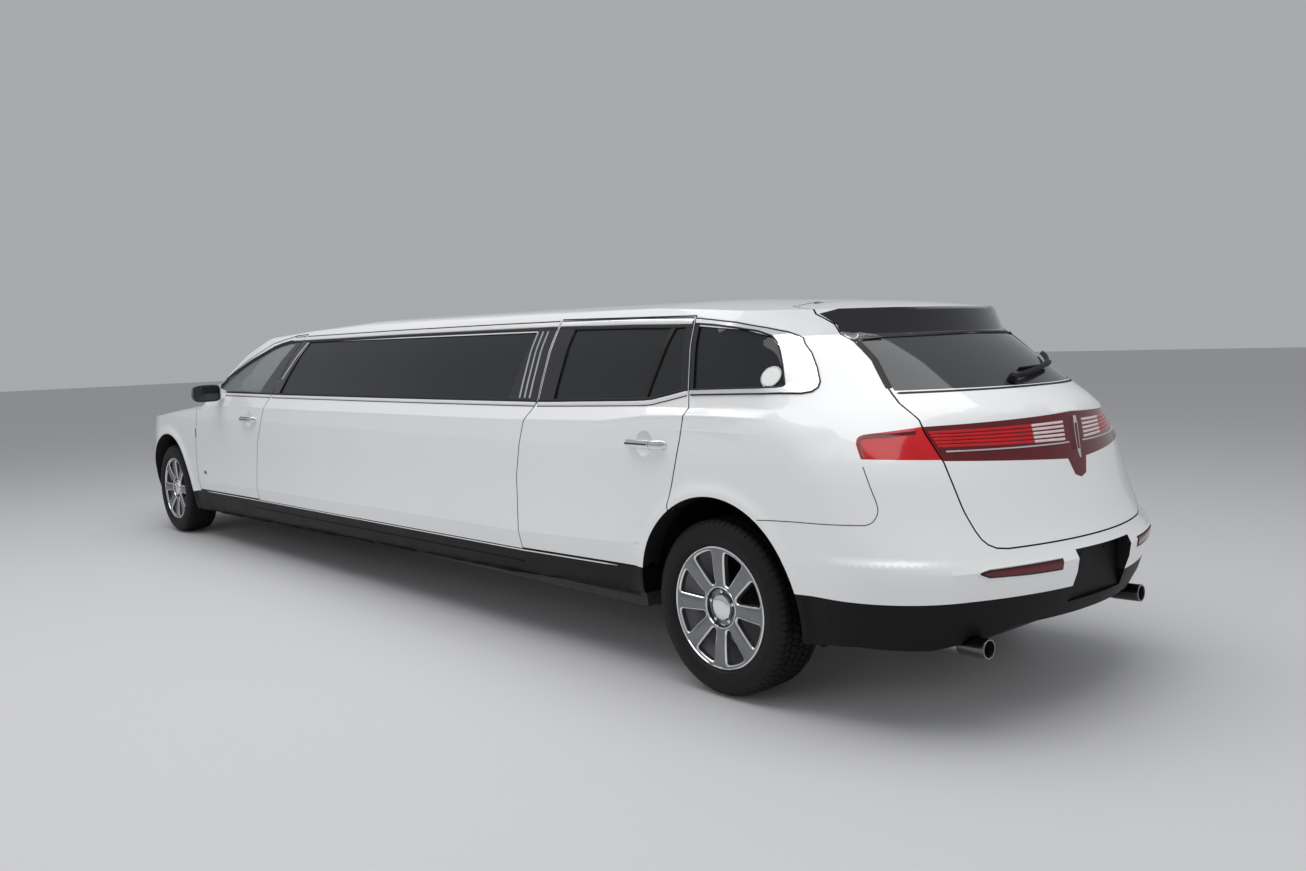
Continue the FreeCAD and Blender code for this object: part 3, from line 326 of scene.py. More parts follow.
def refine(points, triangles, outer):
    """Halves the outer skin's long edges, all faces of an edge together."""
    for _ in range(9):
        corners = triangles[:, [0, 1, 1, 2, 2, 0]].reshape(-1, 2)
        corners = np.sort(corners, axis=1)
        key = corners[:, 0].astype(np.int64) * len(points) + corners[:, 1]
        names, first, back = np.unique(key, return_index=True, return_inverse=True)
        ends = corners[first]
        one, two = points[ends[:, 0]], points[ends[:, 1]]
        share = np.full(len(ends), 0.5)
        for line in (SHOULDER, SILL_CREASE):
            high_one = one[:, 2] - line_height(line, one[:, 0])
            high_two = two[:, 2] - line_height(line, two[:, 0])
            crosses = (high_one * high_two < 0) & (np.abs(one[:, 1]) > 0.7)
            cut = high_one / np.where(crosses, high_one - high_two, 1)
            share = np.where(crosses & (cut > 0.12) & (cut < 0.88), cut, share)
        middle = one + (two - one) * share[:, None]
        length = np.linalg.norm(one - two, axis=1)
        seen = np.zeros(len(names), bool)
        seen[back.reshape(-1, 3)[outer].ravel()] = True
        split = seen & (length > edge_target(middle))
        if not split.any():
            break
        new = np.full(len(names), -1)
        new[split] = len(points) + np.arange(split.sum())
        points = np.vstack([points, middle[split]])
        mid = new[back].reshape(-1, 3)
        keep = (mid < 0).all(1)
        lists = [triangles[keep]]
        flags = [outer[keep]]
        a, b, c = triangles.T
        ab, bc, ca = mid.T
        cases = {
            (1, 1, 1): lambda: [(a, ab, ca), (ab, b, bc), (ca, bc, c), (ab, bc, ca)],
            (1, 0, 0): lambda: [(a, ab, c), (ab, b, c)],
            (0, 1, 0): lambda: [(a, b, bc), (a, bc, c)],
            (0, 0, 1): lambda: [(a, b, ca), (ca, b, c)],
            (1, 1, 0): lambda: [(ab, b, bc), (a, ab, c), (ab, bc, c)],
            (0, 1, 1): lambda: [(ca, bc, c), (a, b, ca), (b, bc, ca)],
            (1, 0, 1): lambda: [(a, ab, ca), (ab, b, c), (ab, c, ca)],
        }
        for pattern, pieces in cases.items():
            chosen = ((mid >= 0) == np.array(pattern, bool)).all(1)
            for trio in pieces():
                lists.append(np.stack([t[chosen] for t in trio], 1))
                flags.append(outer[chosen])
        triangles = np.vstack(lists)
        outer = np.concatenate(flags)
    return points, triangles, outer


def face_vectors(points, triangles):
    a, b, c = (points[triangles[:, i]] for i in range(3))
    return np.cross(b - a, c - a) / 2


CELL_SHIFT, CELL_COUNT = 2000, 8000


def cell_key(p, size, step=(0, 0, 0)):
    """One number for the cube of a given size that holds each point, or for a cube beside it."""
    q = np.floor(p / size).astype(np.int64) + CELL_SHIFT + np.array(step)
    return (q[:, 0] * CELL_COUNT + q[:, 1]) * CELL_COUNT + q[:, 2]


def gather(points, own, cloud, normals, weights, radius, limit):
    """Mean of the cloud's normals near each point that lie close to the point's own."""
    key = cell_key(cloud, radius)
    order = np.argsort(key, kind="stable")
    key, cloud, normals, weights = key[order], cloud[order], normals[order], weights[order]
    total = own * 1e-9
    for step in product((-1, 0, 1), repeat=3):
        wanted = cell_key(points, radius, step)
        start = np.searchsorted(key, wanted, "left")
        count = np.searchsorted(key, wanted, "right") - start
        active = np.nonzero(count)[0]
        number = 0
        while len(active):
            i = start[active] + number
            gap = cloud[i] - points[active]
            w = np.clip(1 - (gap * gap).sum(1) / radius ** 2, 0, 1) ** 2
            w = w * weights[i] * ((normals[i] * own[active]).sum(1) > limit)
            total[active] += w[:, None] * normals[i]
            number += 1
            active = active[count[active] > number]
    return unit(total)


def thin_cloud(places, vectors, size):
    """Merges samples that share a small cube and a direction."""
    areas = np.linalg.norm(vectors, axis=1)
    good = areas > 1e-12
    places, vectors, areas = places[good], vectors[good], areas[good]
    way = np.argmax(np.abs(vectors), axis=1) * 2 + (
        np.take_along_axis(vectors, np.argmax(np.abs(vectors), 1)[:, None], 1)[:, 0] > 0)
    _, back = np.unique(cell_key(places, size) * 6 + way, return_inverse=True)
    count = back.max() + 1
    total = np.stack([np.bincount(back, vectors[:, k], count) for k in range(3)], 1)
    weight = np.bincount(back, areas, count)
    middle = np.stack([np.bincount(back, places[:, k] * areas, count) for k in range(3)], 1)
    return middle / weight[:, None], unit(total), np.linalg.norm(total, axis=1)


MIDDLE_HEIGHT = 0.9
RAY_START = 0.0004


def tree_of(meshes):
    """Search tree over several (points, triangles)."""
    points, triangles, offset = [], [], 0
    for some_points, some_triangles in meshes:
        points.append(some_points)
        triangles.append(some_triangles + offset)
        offset += len(some_points)
    return BVHTree.FromPolygons(np.vstack(points).tolist(), np.vstack(triangles).tolist(),
                                all_triangles=True)


def face_frame(points, triangles):
    """Centre and normal of each face, and how squarely it looks away from the car's middle."""
    centre = points[triangles].mean(1)
    normal = unit(face_vectors(points, triangles))
    away = unit(np.stack([centre[:, 0] - np.clip(centre[:, 0], REAR, FRONT), centre[:, 1],
                          centre[:, 2] - MIDDLE_HEIGHT], 1))
    return centre, normal, (away * normal).sum(1)


def vertex_places(mesh):
    co = np.empty(len(mesh.vertices) * 3, np.float32)
    mesh.vertices.foreach_get("co", co)
    return co.reshape(-1, 3)


raw = {}
for name in SKINS:
    mesh = nodes[name].data
    mesh.calc_loop_triangles()
    tri = np.empty(len(mesh.loop_triangles) * 3, np.int32)
    mesh.loop_triangles.foreach_get("vertices", tri)
    co, back = np.unique(np.round(vertex_places(mesh).astype(float), 5), axis=0,
                         return_inverse=True)
    tri = back.ravel()[tri.reshape(-1, 3)]
    tri = tri[(tri[:, 0] != tri[:, 1]) & (tri[:, 1] != tri[:, 2]) & (tri[:, 2] != tri[:, 0])]
    raw[name] = (co, tri)
whole = tree_of(raw.values())

skins = {}
for name, (co, tri) in raw.items():
    centre, normal, facing = face_frame(co, tri)
    outer = np.array([
        bool(f) and whole.ray_cast(Vector(c + n * RAY_START), Vector(n), 12)[0] is None
        for c, n, f in zip(centre, normal, facing > 0.35)])
    skins[name] = refine(co, tri, outer)

places = np.vstack([points[triangles[outer]].mean(1)
                    for points, triangles, outer in skins.values()])
vectors = np.vstack([face_vectors(points, triangles[outer])
                     for points, triangles, outer in skins.values()])
outer_shell = tree_of((points, triangles[outer]) for points, triangles, outer in skins.values())
whole_shell = tree_of((points, triangles) for points, triangles, _ in skins.values())
fine_cloud = thin_cloud(places, vectors, 0.018)
wide_cloud = thin_cloud(places, vectors, 0.06)


# Finish of a painted skin's face: plain paint, dark (painted shade on shut-line walls, dark plate recess, black
# arch liners) and cabin lining
PLAIN, DARK, LINING = 0, 1, 2
# A shut line's walls lie this near the outer skin, and face a neighbour this near; they get painted shade
SEAM_DEPTH = 0.030
SEAM_WIDTH = 0.016
RECESS_FRONT = REAR - 0.95
RECESS_HALF, RECESS_LOW, RECESS_HIGH = 0.26, 0.40, 0.70


def carry_dark(points, triangles, outer, normal, kinds):
    """Carries the dark kind (painted shade on shut-line walls, dark plate recess) over each edge face as far as
    its sharp corners.
    """
    _, corner = np.unique(np.round(points, 5), axis=0, return_inverse=True)
    corner = corner.reshape(-1)
    edges, meets = {}, {}
    for k in np.nonzero(~outer)[0]:
        a, b, c = sorted(corner[triangles[k]])
        meets[k] = ((a, b), (a, c), (b, c))
        for edge in meets[k]:
            edges.setdefault(edge, []).append(k)
    waiting = list(np.nonzero(kinds == DARK)[0])
    while waiting:
        k = waiting.pop()
        for edge in meets[k]:
            for other in edges[edge]:
                if kinds[other] != DARK and normal[k] @ normal[other] > 0.9:
                    kinds[other] = DARK
                    waiting.append(other)


def inner_kinds(points, triangles, outer):
    """Finish of each face: shut-line walls get painted shade, the plate recess is dark and the wheel arches get a
    black liner.
    """
    centre, normal, facing = face_frame(points, triangles)
    kinds = np.where(~outer & ((facing < -0.6) | (normal[:, 2] < -0.35)), LINING, PLAIN)
    for k in np.nonzero(~outer)[0]:
        place, way = Vector(centre[k]), Vector(normal[k])
        # Walls of a shut line near the outer skin that face a neighbour across the gap: painted shade
        if (outer_shell.find_nearest(place, SEAM_DEPTH)[0] is not None and
                whole_shell.ray_cast(place + way * RAY_START, way, SEAM_WIDTH)[0] is not None):
            kinds[k] = DARK
    plate_recess = ((centre[:, 0] < RECESS_FRONT) & (np.abs(centre[:, 1]) < RECESS_HALF) &
                    (centre[:, 2] > RECESS_LOW) & (centre[:, 2] < RECESS_HIGH))
    kinds[~outer & plate_recess] = DARK
    carry_dark(points, triangles, outer, normal, kinds)
    for axle in (REAR, FRONT):
        radius = np.hypot(centre[:, 0] - axle, centre[:, 2] - ARCH_HEIGHT)
        kinds[~outer & (radius < ARCH_RADIUS + 0.010) & (np.abs(centre[:, 1]) > 0.6)] = DARK
    return kinds


def build_skin(name, points, triangles, outer, finish):
    """Skin piece of one CAD node, with relief on its sides and one smooth set of normals."""
    ids = triangles[outer].ravel()
    vectors = np.repeat(face_vectors(points, triangles[outer]), 3, axis=0)
    way = np.round(unit(vectors) * 3).astype(np.int64) + 4
    key = ((ids * 9 + way[:, 0]) * 9 + way[:, 1]) * 9 + way[:, 2]
    _, first, back = np.unique(key, return_index=True, return_inverse=True)
    spot = ids[first]
    place = points[spot]
    own = unit(np.stack([np.bincount(back, vectors[:, k], len(first)) for k in range(3)], 1))
    smooth = gather(place, own, *fine_cloud, 0.07, 0.86)
    flat = (np.abs(smooth[:, 2]) > 0.6) | (place[:, 2] > 1.2) | (place[:, 0] < REAR - 0.6)
    smooth[flat] = gather(place[flat], smooth[flat], *wide_cloud, 0.2, 0.93)
    if finish in (PAINT, BLACK) and name not in ("hood", "roof_panel"):
        ruled = ((place[:, 2] > 0.99) & (place[:, 2] < 1.195) & (np.abs(own[:, 1]) > 0.75))
        hold = (shoulder_reach(place[:, 0]) * ruled)[:, None]
        smooth = unit(smooth * (1 - hold) + own * hold)
        side = smoothstep(0.35, 0.75, np.abs(smooth[:, 1]))
        x, z = place[:, 0], place[:, 2]
        step = 0.0015
        slope_x = (relief(x + step, z) - relief(x - step, z)) / (2 * step) * side
        slope_z = (relief(x, z + step) - relief(x, z - step)) / (2 * step) * side
        push = smooth * (relief(x, z) * side)[:, None]
        slope = np.stack([slope_x, 0 * x, slope_z], 1)
        slope -= smooth * (slope * smooth).sum(1, keepdims=True)
        smooth = unit(smooth - slope)
        share = np.bincount(spot, minlength=len(points))
        moved = np.stack([np.bincount(spot, push[:, k], len(points)) for k in range(3)], 1)
        points = points + moved / np.maximum(share, 1)[:, None]
    mesh = bpy.data.meshes.new(name + "_skin")
    mesh.from_pydata(points.tolist(), [], triangles.tolist())
    mesh.materials.append(finish)
    # Painted skins also carry the seal material, painted as shade on shut-line walls, and the cabin lining
    if finish is PAINT:
        mesh.materials.append(SEAL_AND_GAP_SHADE)
        mesh.materials.append(TRIM)
        mesh.polygons.foreach_set("material_index", inner_kinds(points, triangles, outer))
    mesh.shade_smooth()
    plain = unit(face_vectors(points, triangles))
    corner = np.repeat(plain[:, None], 3, axis=1)
    corner[outer] = smooth[back].reshape(-1, 3, 3)
    agree = (corner * plain[:, None]).sum(2) > 0.5
    corner = np.where(agree[..., None], corner, plain[:, None])
    mesh.normals_split_custom_set(corner.reshape(-1, 3).tolist())
    piece = linked(name + "_skin", mesh)
    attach(piece, body_of[name])
    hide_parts(name)
    return piece


outside = {name: build_skin(name, *skin, SKINS[name]) for name, skin in skins.items()}


# ---------------------------------------------------------------- laying pieces on the skin
GLASS_NODES = {"windscreen", "left_front_door_glass", "right_front_door_glass",
               "fixed_side_windows", "rear_window", "left_rear_door_glass",
               "right_rear_door_glass"}
GLASS_DEPTH = 0.007
cover_meshes, cover_glass = [], []
for name, (points, triangles, outer) in skins.items():
    cover_meshes.append((vertex_places(outside[name].data), triangles[outer]))
    cover_glass += [name in GLASS_NODES] * int(outer.sum())
cover = tree_of(cover_meshes)
CAST_FROM = 6.0


def cast(start, way):
    """Place and outward normal where a ray first meets the skin, bridging shut lines and glass."""
    for nudge in (0, 0.007, -0.007, 0.014, -0.014):
        shift = Vector((nudge, 0, 0)) if abs(way.x) < 0.5 else Vector((0, nudge, 0))
        place, normal, index, _ = cover.ray_cast(start + shift, way, 30)
        if place is not None and normal.dot(way) < -0.05:
            if cover_glass[index]:
                place = place + normal * GLASS_DEPTH
            return place - shift, normal
    raise ValueError(f"nothing under {tuple(start)}")


def on_side(side):
    """Maps (ahead of the rear axle, height) onto one flank."""
    return lambda u, v: cast(Vector((REAR + u, side * CAST_FROM, v)), Vector((0, -side, 0)))


def on_tail(u, v):
    """Maps (left of the centre plane, height) onto the tail."""
    return cast(Vector((REAR - CAST_FROM, u, v)), X_AXIS)


def on_nose(u, v):
    return cast(Vector((FRONT + CAST_FROM, u, v)), Vector((-1, 0, 0)))


def on_top(u, v):
    """Maps (ahead of the rear axle, left of the centre plane) onto the top."""
    return cast(Vector((REAR + u, v, CAST_FROM)), Vector((0, 0, -1)))


def spread(points, step=0.04):
    """The polyline's points, with more between them no further apart than step."""
    out = [points[0]]
    for a, b in zip(points, points[1:]):
        count = max(1, math.ceil(math.dist(a, b) / step))
        out += [tuple(p + (q - p) * k / count for p, q in zip(a, b)) for k in range(1, count + 1)]
    return out


def curve_through(points, step=0.02):
    """Smooth line through the points (Catmull-Rom)."""
    p = [points[0], *points, points[-1]]
    out = []
    for a, b, c, d in zip(p, p[1:], p[2:], p[3:]):
        count = max(1, math.ceil(math.dist(b, c) / step))
        for k in range(count):
            t = k / count
            out.append(tuple(
                0.5 * (2 * q + (r - o) * t + (2 * o - 5 * q + 4 * r - s) * t ** 2 +
                       (3 * q - o - 3 * r + s) * t ** 3) for o, q, r, s in zip(a, b, c, d)))
    out.append(points[-1])
    return out


def tidy_normals(normals):
    n = np.array([tuple(v) for v in normals])
    for _ in range(2):
        n = unit(n + np.roll(n, 1, 0) * 0.5 + np.roll(n, -1, 0) * 0.5) if len(n) > 4 else n
    return n


def sweep(places, normals, width, height, sink=0.002, taper=0.0):
    """Rounded strip along places: flat on the skin, crowned outward."""
    p = np.array([tuple(v) for v in places], float)
    n = np.array([tuple(v) for v in normals], float)
    along = unit(np.gradient(p, axis=0))
    across = unit(np.cross(n, along))
    n = unit(np.cross(along, across))
    half = width / 2
    section = [(-half, -sink), (-half, height * 0.5), (-half * 0.82, height * 0.85),
               (-half * 0.45, height), (half * 0.45, height), (half * 0.82, height * 0.85),
               (half, height * 0.5), (half, -sink)]
    count = len(section)
    size = np.ones(len(p))
    if taper:
        run = np.linspace(0, 1, len(p))
        size = 0.25 + 0.75 * np.minimum(1, np.minimum(run, 1 - run) / taper)
    points = []
    for k in range(len(p)):
        points += [tuple(p[k] + across[k] * a * size[k] + n[k] * b) for a, b in section]
    faces = [[k * count + i, (k + 1) * count + i, (k + 1) * count + (i + 1) % count,
              k * count + (i + 1) % count] for k in range(len(p) - 1) for i in range(count)]
    faces.append(list(range(count)))
    faces.append(list(range((len(p) - 1) * count, len(p) * count))[::-1])
    return points, faces


def strip(path, project, width, height, sink=0.002, smooth=False, taper=0.0):
    path = curve_through(path) if smooth else spread(path, 0.03)
    hits = [project(*p) for p in path]
    return sweep([h[0] for h in hits], tidy_normals([h[1] for h in hits]), width, height, sink,
                 taper)


def sheet_between(low, high, project, lift=0.0012, rows=6, sink=0.003, spread_step=0.05):
    """Thin plate on the skin between two lines with the same number of points."""
    low_line, high_line = [], []
    for (a, b), (c, d) in zip(zip(low, low[1:]), zip(high, high[1:])):
        count = max(1, math.ceil(max(math.dist(a, b), math.dist(c, d)) / spread_step))
        for k in range(count):
            low_line.append(tuple(p + (q - p) * k / count for p, q in zip(a, b)))
            high_line.append(tuple(p + (q - p) * k / count for p, q in zip(c, d)))
    low_line.append(low[-1])
    high_line.append(high[-1])
    columns, count = len(low_line), rows + 1
    top, bottom = [], []
    for a, b in zip(low_line, high_line):
        for k in range(count):
            t = k / rows
            place, normal = project(*(p + (q - p) * t for p, q in zip(a, b)))
            top.append(tuple(place + normal * lift))
            bottom.append(tuple(place - normal * sink))
    points = top + bottom
    lower = len(top)
    faces = []
    for c in range(columns - 1):
        for r in range(rows):
            i = c * count + r
            quad = [i, i + count, i + count + 1, i + 1]
            faces.append(quad)
            faces.append([q + lower for q in quad][::-1])
    rim = [c * count for c in range(columns)]
    rim += [(columns - 1) * count + r for r in range(1, count)]
    rim += [c * count + rows for c in range(columns - 2, -1, -1)]
    rim += [r for r in range(rows - 1, 0, -1)]
    for a, b in zip(rim, rim[1:] + rim[:1]):
        faces.append([a, a + lower, b + lower, b])
    return points, faces


def disc(centre, radius, project, lift, inner=0.0, count=32):
    """Round sticker, or a ring when inner is given."""
    line = [2 * math.pi * k / count for k in range(count + 1)]
    inner_line, outer_line = (
        [(centre[0] + r * math.cos(a), centre[1] + r * math.sin(a)) for a in line]
        for r in (inner or 0.001, radius))
    return sheet_between(inner_line, outer_line, project, lift, rows=3, sink=0.001)


# ---------------------------------------------------------------- window band
BELT = [(5.35, 1.193), (4.70, 1.191), (4.225, 1.190), (2.642, 1.192), (1.272, 1.197),
        (0.770, 1.208), (0.461, 1.217), (0.355, 1.232), (0.260, 1.250), (0.190, 1.264)]
TOP = [(4.30, 1.583), (4.10, 1.584), (2.732, 1.588), (1.750, 1.586), (1.185, 1.583), (0.60, 1.575),
       (0.238, 1.565)]
QUARTER_OUT = [(.212, 1.565), (.10, 1.553), (-.025, 1.539), (-.166, 1.511), (-.24, 1.492),
               (-.300, 1.464), (-.361, 1.407), (-.405, 1.350), (-.437, 1.298), (-.441, 1.276),
               (-.428, 1.261), (-.395, 1.255), (-.30, 1.256), (-.10, 1.252), (.170, 1.245)]
QUARTER_IN = [(.212, 1.543), (.09, 1.533), (-.025, 1.519), (-.130, 1.501), (-.186, 1.480),
              (-.222, 1.455), (-.258, 1.410), (-.285, 1.362), (-.315, 1.298), (-.320, 1.288),
              (-.318, 1.284), (-.310, 1.281), (-.29, 1.279), (-.10, 1.275), (.170, 1.267)]


def clipped(line, start, stop, drop=0.0):
    """Part of a falling-x line between two places, lowered by drop."""
    xs = [p[0] for p in line][::-1]
    zs = [p[1] for p in line][::-1]
    inside = [p[0] for p in line if stop < p[0] < start]
    return [(x, float(np.interp(x, xs, zs)) - drop) for x in [start, *inside, stop]]


def thicken(line, amount):
    return [(x, z + amount) for x, z in line]


def sided(side, *line):
    """A line of the left half, or its mirror image."""
    return [(side * y, z) for y, z in line]


for side, name in SIDES:
    flank = on_side(side)
    front_door, rear_door = name + "_front_door", name + "_rear_door"
    # bright strips over and under the glass, with a black line beside each
    for part, body, start, stop in (("front", front_door, 4.29, 4.125),
                                    ("stretch", "body", 4.09, 1.200),
                                    ("rear", rear_door, 1.176, 0.232)):
        line = clipped(TOP, start, stop, 0.012)
        add_mesh(f"{name}_{part}_top_trim", *strip(line, flank, 0.024, 0.0045), BRIGHT, body)
        add_mesh(f"{name}_{part}_top_seam", *join([
            strip(thicken(line, 0.0155), flank, 0.006, 0.0022),
            strip(thicken(line, -0.020), flank, 0.018, 0.0022)]), SEAL_AND_GAP_SHADE, body)
    for part, body, start, stop in (("front", front_door, 5.34, 4.497),
                                    ("stretch", "body", 4.478, 1.276),
                                    ("rear", rear_door, 1.256, 0.194)):
        line = clipped(BELT, start, stop, 0.010)
        add_mesh(f"{name}_{part}_belt_trim", *strip(line, flank, 0.018, 0.005, smooth=True),
                 BRIGHT, body)
        add_mesh(f"{name}_{part}_belt_seam", *join([
            strip(thicken(line, -0.0115), flank, 0.004, 0.0018, smooth=True),
            strip(thicken(line, 0.0145), flank, 0.014, 0.003, smooth=True)]), SEAL_AND_GAP_SHADE, body)
    add_mesh(f"{name}_quarter_trim",
             *sheet_between(QUARTER_IN, QUARTER_OUT, flank, lift=0.004, rows=5, spread_step=0.03),
             SATIN, "body")
    add_mesh(f"{name}_quarter_seam", *join([
        strip(QUARTER_OUT, flank, 0.007, 0.0055), strip(QUARTER_IN, flank, 0.008, 0.0055)]),
        SEAL_AND_GAP_SHADE, "body")
    # black fills of the pillars
    for part, body, low, high in (
            ("front_door_rear", front_door, [(4.715, 1.190), (4.489, 1.190)],
             [(4.205, 1.565), (4.137, 1.565)]),
            ("stretch_front", "body", [(4.480, 1.190), (4.370, 1.190)],
             [(4.128, 1.565), (4.010, 1.565)]),
            ("stretch_rear", "body", [(1.530, 1.194), (1.270, 1.194)],
             [(1.348, 1.565), (1.200, 1.565)]),
            ("rear_door_front", rear_door, [(1.254, 1.196), (1.135, 1.196)],
             [(1.180, 1.562), (1.048, 1.562)]),
            ("rear_door_rear", rear_door, [(0.232, 1.252), (0.191, 1.262)],
             [(0.268, 1.556), (0.226, 1.556)]),
            ("quarter_front", "body", [(0.180, 1.264), (0.158, 1.264)],
             [(0.216, 1.552), (0.188, 1.552)])):
        add_mesh(f"{name}_{part}_pillar", *sheet_between(low, high, flank, lift=0.002), GLOSS, body)
    add_mesh(f"{name}_rear_door_bar", *strip([(0.465, 1.222), (0.337, 1.550)], flank, 0.026, 0.001,
                                             sink=0.008), SEAL_AND_GAP_SHADE, rear_door)
    add_mesh(f"{name}_slanted_stripes", *join(
        [strip([(1.419 - k * 0.043, 1.214), (1.353 - k * 0.043, 1.540)], flank, 0.011, 0.005)
         for k in range(3)] + [strip([(4.335, 1.30), (4.040, 1.545)], flank, 0.010, 0.005)]),
        CHROME, "body")
    # frame of the front door glass
    arc = [(5.500, 1.226), (5.300, 1.312), (5.039, 1.401), (4.800, 1.465), (4.562, 1.526),
           (4.380, 1.552), (4.205, 1.566)]
    add_mesh(f"{name}_front_glass_frame", *strip(arc, flank, 0.020, 0.003, smooth=True), SEAL_AND_GAP_SHADE,
             front_door)

# ---------------------------------------------------------------- quarter and rear stickers
add_mesh("quarter_sticker", *disc((-0.250, 1.318), 0.036, on_side(1), -0.0055), STICKER, "body")
add_mesh("quarter_sticker_ring", *disc((-0.250, 1.318), 0.040, on_side(1), -0.0045, inner=0.0375),
         SATIN, "body")

# ---------------------------------------------------------------- tail
GATE_EDGE = [(0.634, 1.246), (0.609, 1.300), (0.578, 1.374), (0.573, 1.420), (0.5725, 1.455)]
for side, name in SIDES:
    add_mesh(f"{name}_rear_glass_edge",
             *strip(sided(side, *GATE_EDGE), on_tail, 0.028, 0.001, sink=0.008), SEAL_AND_GAP_SHADE, "liftgate")
    corner = sheet_between(sided(side, (0.47, 1.452), (0.555, 1.449), (0.580, 1.450)),
                           sided(side, (0.47, 1.468), (0.545, 1.490), (0.588, 1.512)),
                           on_tail, lift=0.0015)
    add_mesh(f"{name}_rear_glass_corner", *corner, GLOSS, "liftgate")
add_mesh("rear_glass_top_edge", *strip([(-0.54, 1.462), (0, 1.470), (0.54, 1.462)], on_tail, 0.016,
                                       0.0015, sink=0.008), SEAL_AND_GAP_SHADE, "liftgate")
add_mesh("rear_glass_low_edge", *strip([(-0.632, 1.247), (0, 1.250), (0.632, 1.247)], on_tail,
                                       0.012, 0.001, sink=0.008), SEAL_AND_GAP_SHADE, "liftgate")
ring_place, ring_normal = on_tail(0.556, 1.472)
ring_side = ring_normal.cross(Z_AXIS).normalized()
ring_up = ring_side.cross(ring_normal)
ring_spokes = [ring_side * math.cos(a) + ring_up * math.sin(a)
               for a in (2 * math.pi * k / 48 for k in range(49))]
add_mesh("rear_ring_sticker", *sweep([ring_place + 0.025 * spoke for spoke in ring_spokes],
                                     [ring_normal] * 49, 0.0055, 0.002), STICKER, "liftgate")


def lamp_height(y, share):
    """Height inside the gate lamp: 0 at its lower edge, 1 at its top."""
    low = 0.970 + 0.035 * max(0, abs(y) - 0.07) / 0.598
    high = 1.145 - 0.021 * abs(y) / 0.698
    return low + (high - low) * share


def lamp_line(y_from, y_to, share, count=16):
    ys = [y_from + (y_to - y_from) * k / count for k in range(count + 1)]
    return [(y, lamp_height(y, share)) for y in ys]


RIBS = 5
for side, name in SIDES:
    ribs, clear_ribs = [], []
    for k in range(RIBS):
        share = 0.43 + 0.095 * k
        ribs.append(strip(lamp_line(side * 0.640, side * 0.255, share), on_tail, 0.0115, 0.004,
                          sink=0.001))
        clear_ribs.append(strip(lamp_line(side * 0.250, side * 0.072, share), on_tail, 0.0105,
                                0.004, sink=0.001))
    add_mesh(f"{name}_gate_lamp_ribs", *join(ribs), RED, "liftgate")
    add_mesh(f"{name}_reverse_lamp_ribs", *join(clear_ribs), PINK, "liftgate")
    add_mesh(f"{name}_lamp_strip", *strip([(side * 0.625, 1.034), (side * 0.05, 1.030)], on_tail,
                                          0.0065, 0.0055), CHROME, "liftgate")
    lamp_flank = on_side(side)
    add_mesh(f"{name}_side_lamp_band", *sheet_between(
        [(-0.674, 1.089), (-0.690, 1.091), (-0.745, 1.094), (-0.800, 1.100)],
        [(-0.666, 1.100), (-0.690, 1.1045), (-0.745, 1.1065), (-0.800, 1.1125)], lamp_flank,
        lift=0.0012, rows=3), DARK_RED, "body")
    add_mesh(f"{name}_side_lamp_end", *sheet_between(
        [(-0.661, 1.096), (-0.659, 1.088), (-0.666, 1.074), (-0.678, 1.056), (-0.703, 1.022)],
        [(-0.674, 1.092), (-0.670, 1.085), (-0.675, 1.073), (-0.687, 1.054), (-0.711, 1.024)],
        lamp_flank, lift=0.0016, rows=2), DARK_RED, "body")
    # painted shade: dark line along the rear bumper's joint with the quarter
    add_mesh(f"{name}_rear_bumper_seam", *strip(
        [(-0.264, 0.7675), (-0.478, 0.778), (-0.712, 0.785), (-0.744, 0.787), (-0.764, 0.799),
         (-0.774, 0.827), (-0.769, 0.859), (-0.742, 0.923), (-0.713, 0.995)], lamp_flank, 0.0032,
        0.0008, smooth=True), SEAL_AND_GAP_SHADE, "body")
    # painted shade: dark line along the joint in the roof
    add_mesh(f"{name}_roof_gap_shade", *strip(
        [(-0.046, side * 0.312), (-0.144, side * 0.560)], on_top, 0.004, 0.0008), SEAL_AND_GAP_SHADE, "body")
    # reflector in its slot
    low = sided(side, (0.655, 0.604), (0.62, 0.590), (0.45, 0.584), (0.292, 0.582))
    high = sided(side, (0.655, 0.612), (0.62, 0.618), (0.45, 0.621), (0.292, 0.623))
    add_mesh(f"{name}_reflector_slot", *sheet_between(low, high, on_tail, lift=0.0015), SEAL_AND_GAP_SHADE,
             "body")
    low = sided(side, (0.640, 0.604), (0.61, 0.594), (0.45, 0.589), (0.298, 0.588))
    high = sided(side, (0.640, 0.610), (0.61, 0.613), (0.45, 0.616), (0.298, 0.617))
    add_mesh(f"{name}_reflector", *sheet_between(low, high, on_tail, lift=0.004), DARK_RED, "body")
    lips = sided(side, (0.290, 0.579), (0.45, 0.580), (0.62, 0.586), (0.662, 0.604),
                 (0.662, 0.613), (0.62, 0.622), (0.45, 0.625), (0.290, 0.627))
    add_mesh(f"{name}_reflector_lip", *strip(lips, on_tail, 0.006, 0.005), PAINT, "body")
spine = [(0.0, 1.128, 0.010), (0.0, 1.10, 0.013), (0.0, 1.05, 0.0135), (0.0, 1.0, 0.011),
         (0.0, 0.965, 0.005)]
low = [(-w, z) for _, z, w in spine]
high = [(w, z) for _, z, w in spine]
add_mesh("lamp_centre_fin", *sheet_between(low, high, on_tail, lift=0.013, rows=4,
                                           spread_step=0.012),
         CHROME, "liftgate")
add_mesh("lamp_centre_fin_core", *sheet_between([(-w * 0.45, z) for _, z, w in spine[1:-1]],
                                                [(w * 0.45, z) for _, z, w in spine[1:-1]], on_tail,
                                                lift=0.0145, rows=2, spread_step=0.012),
         DARK_RED, "liftgate")

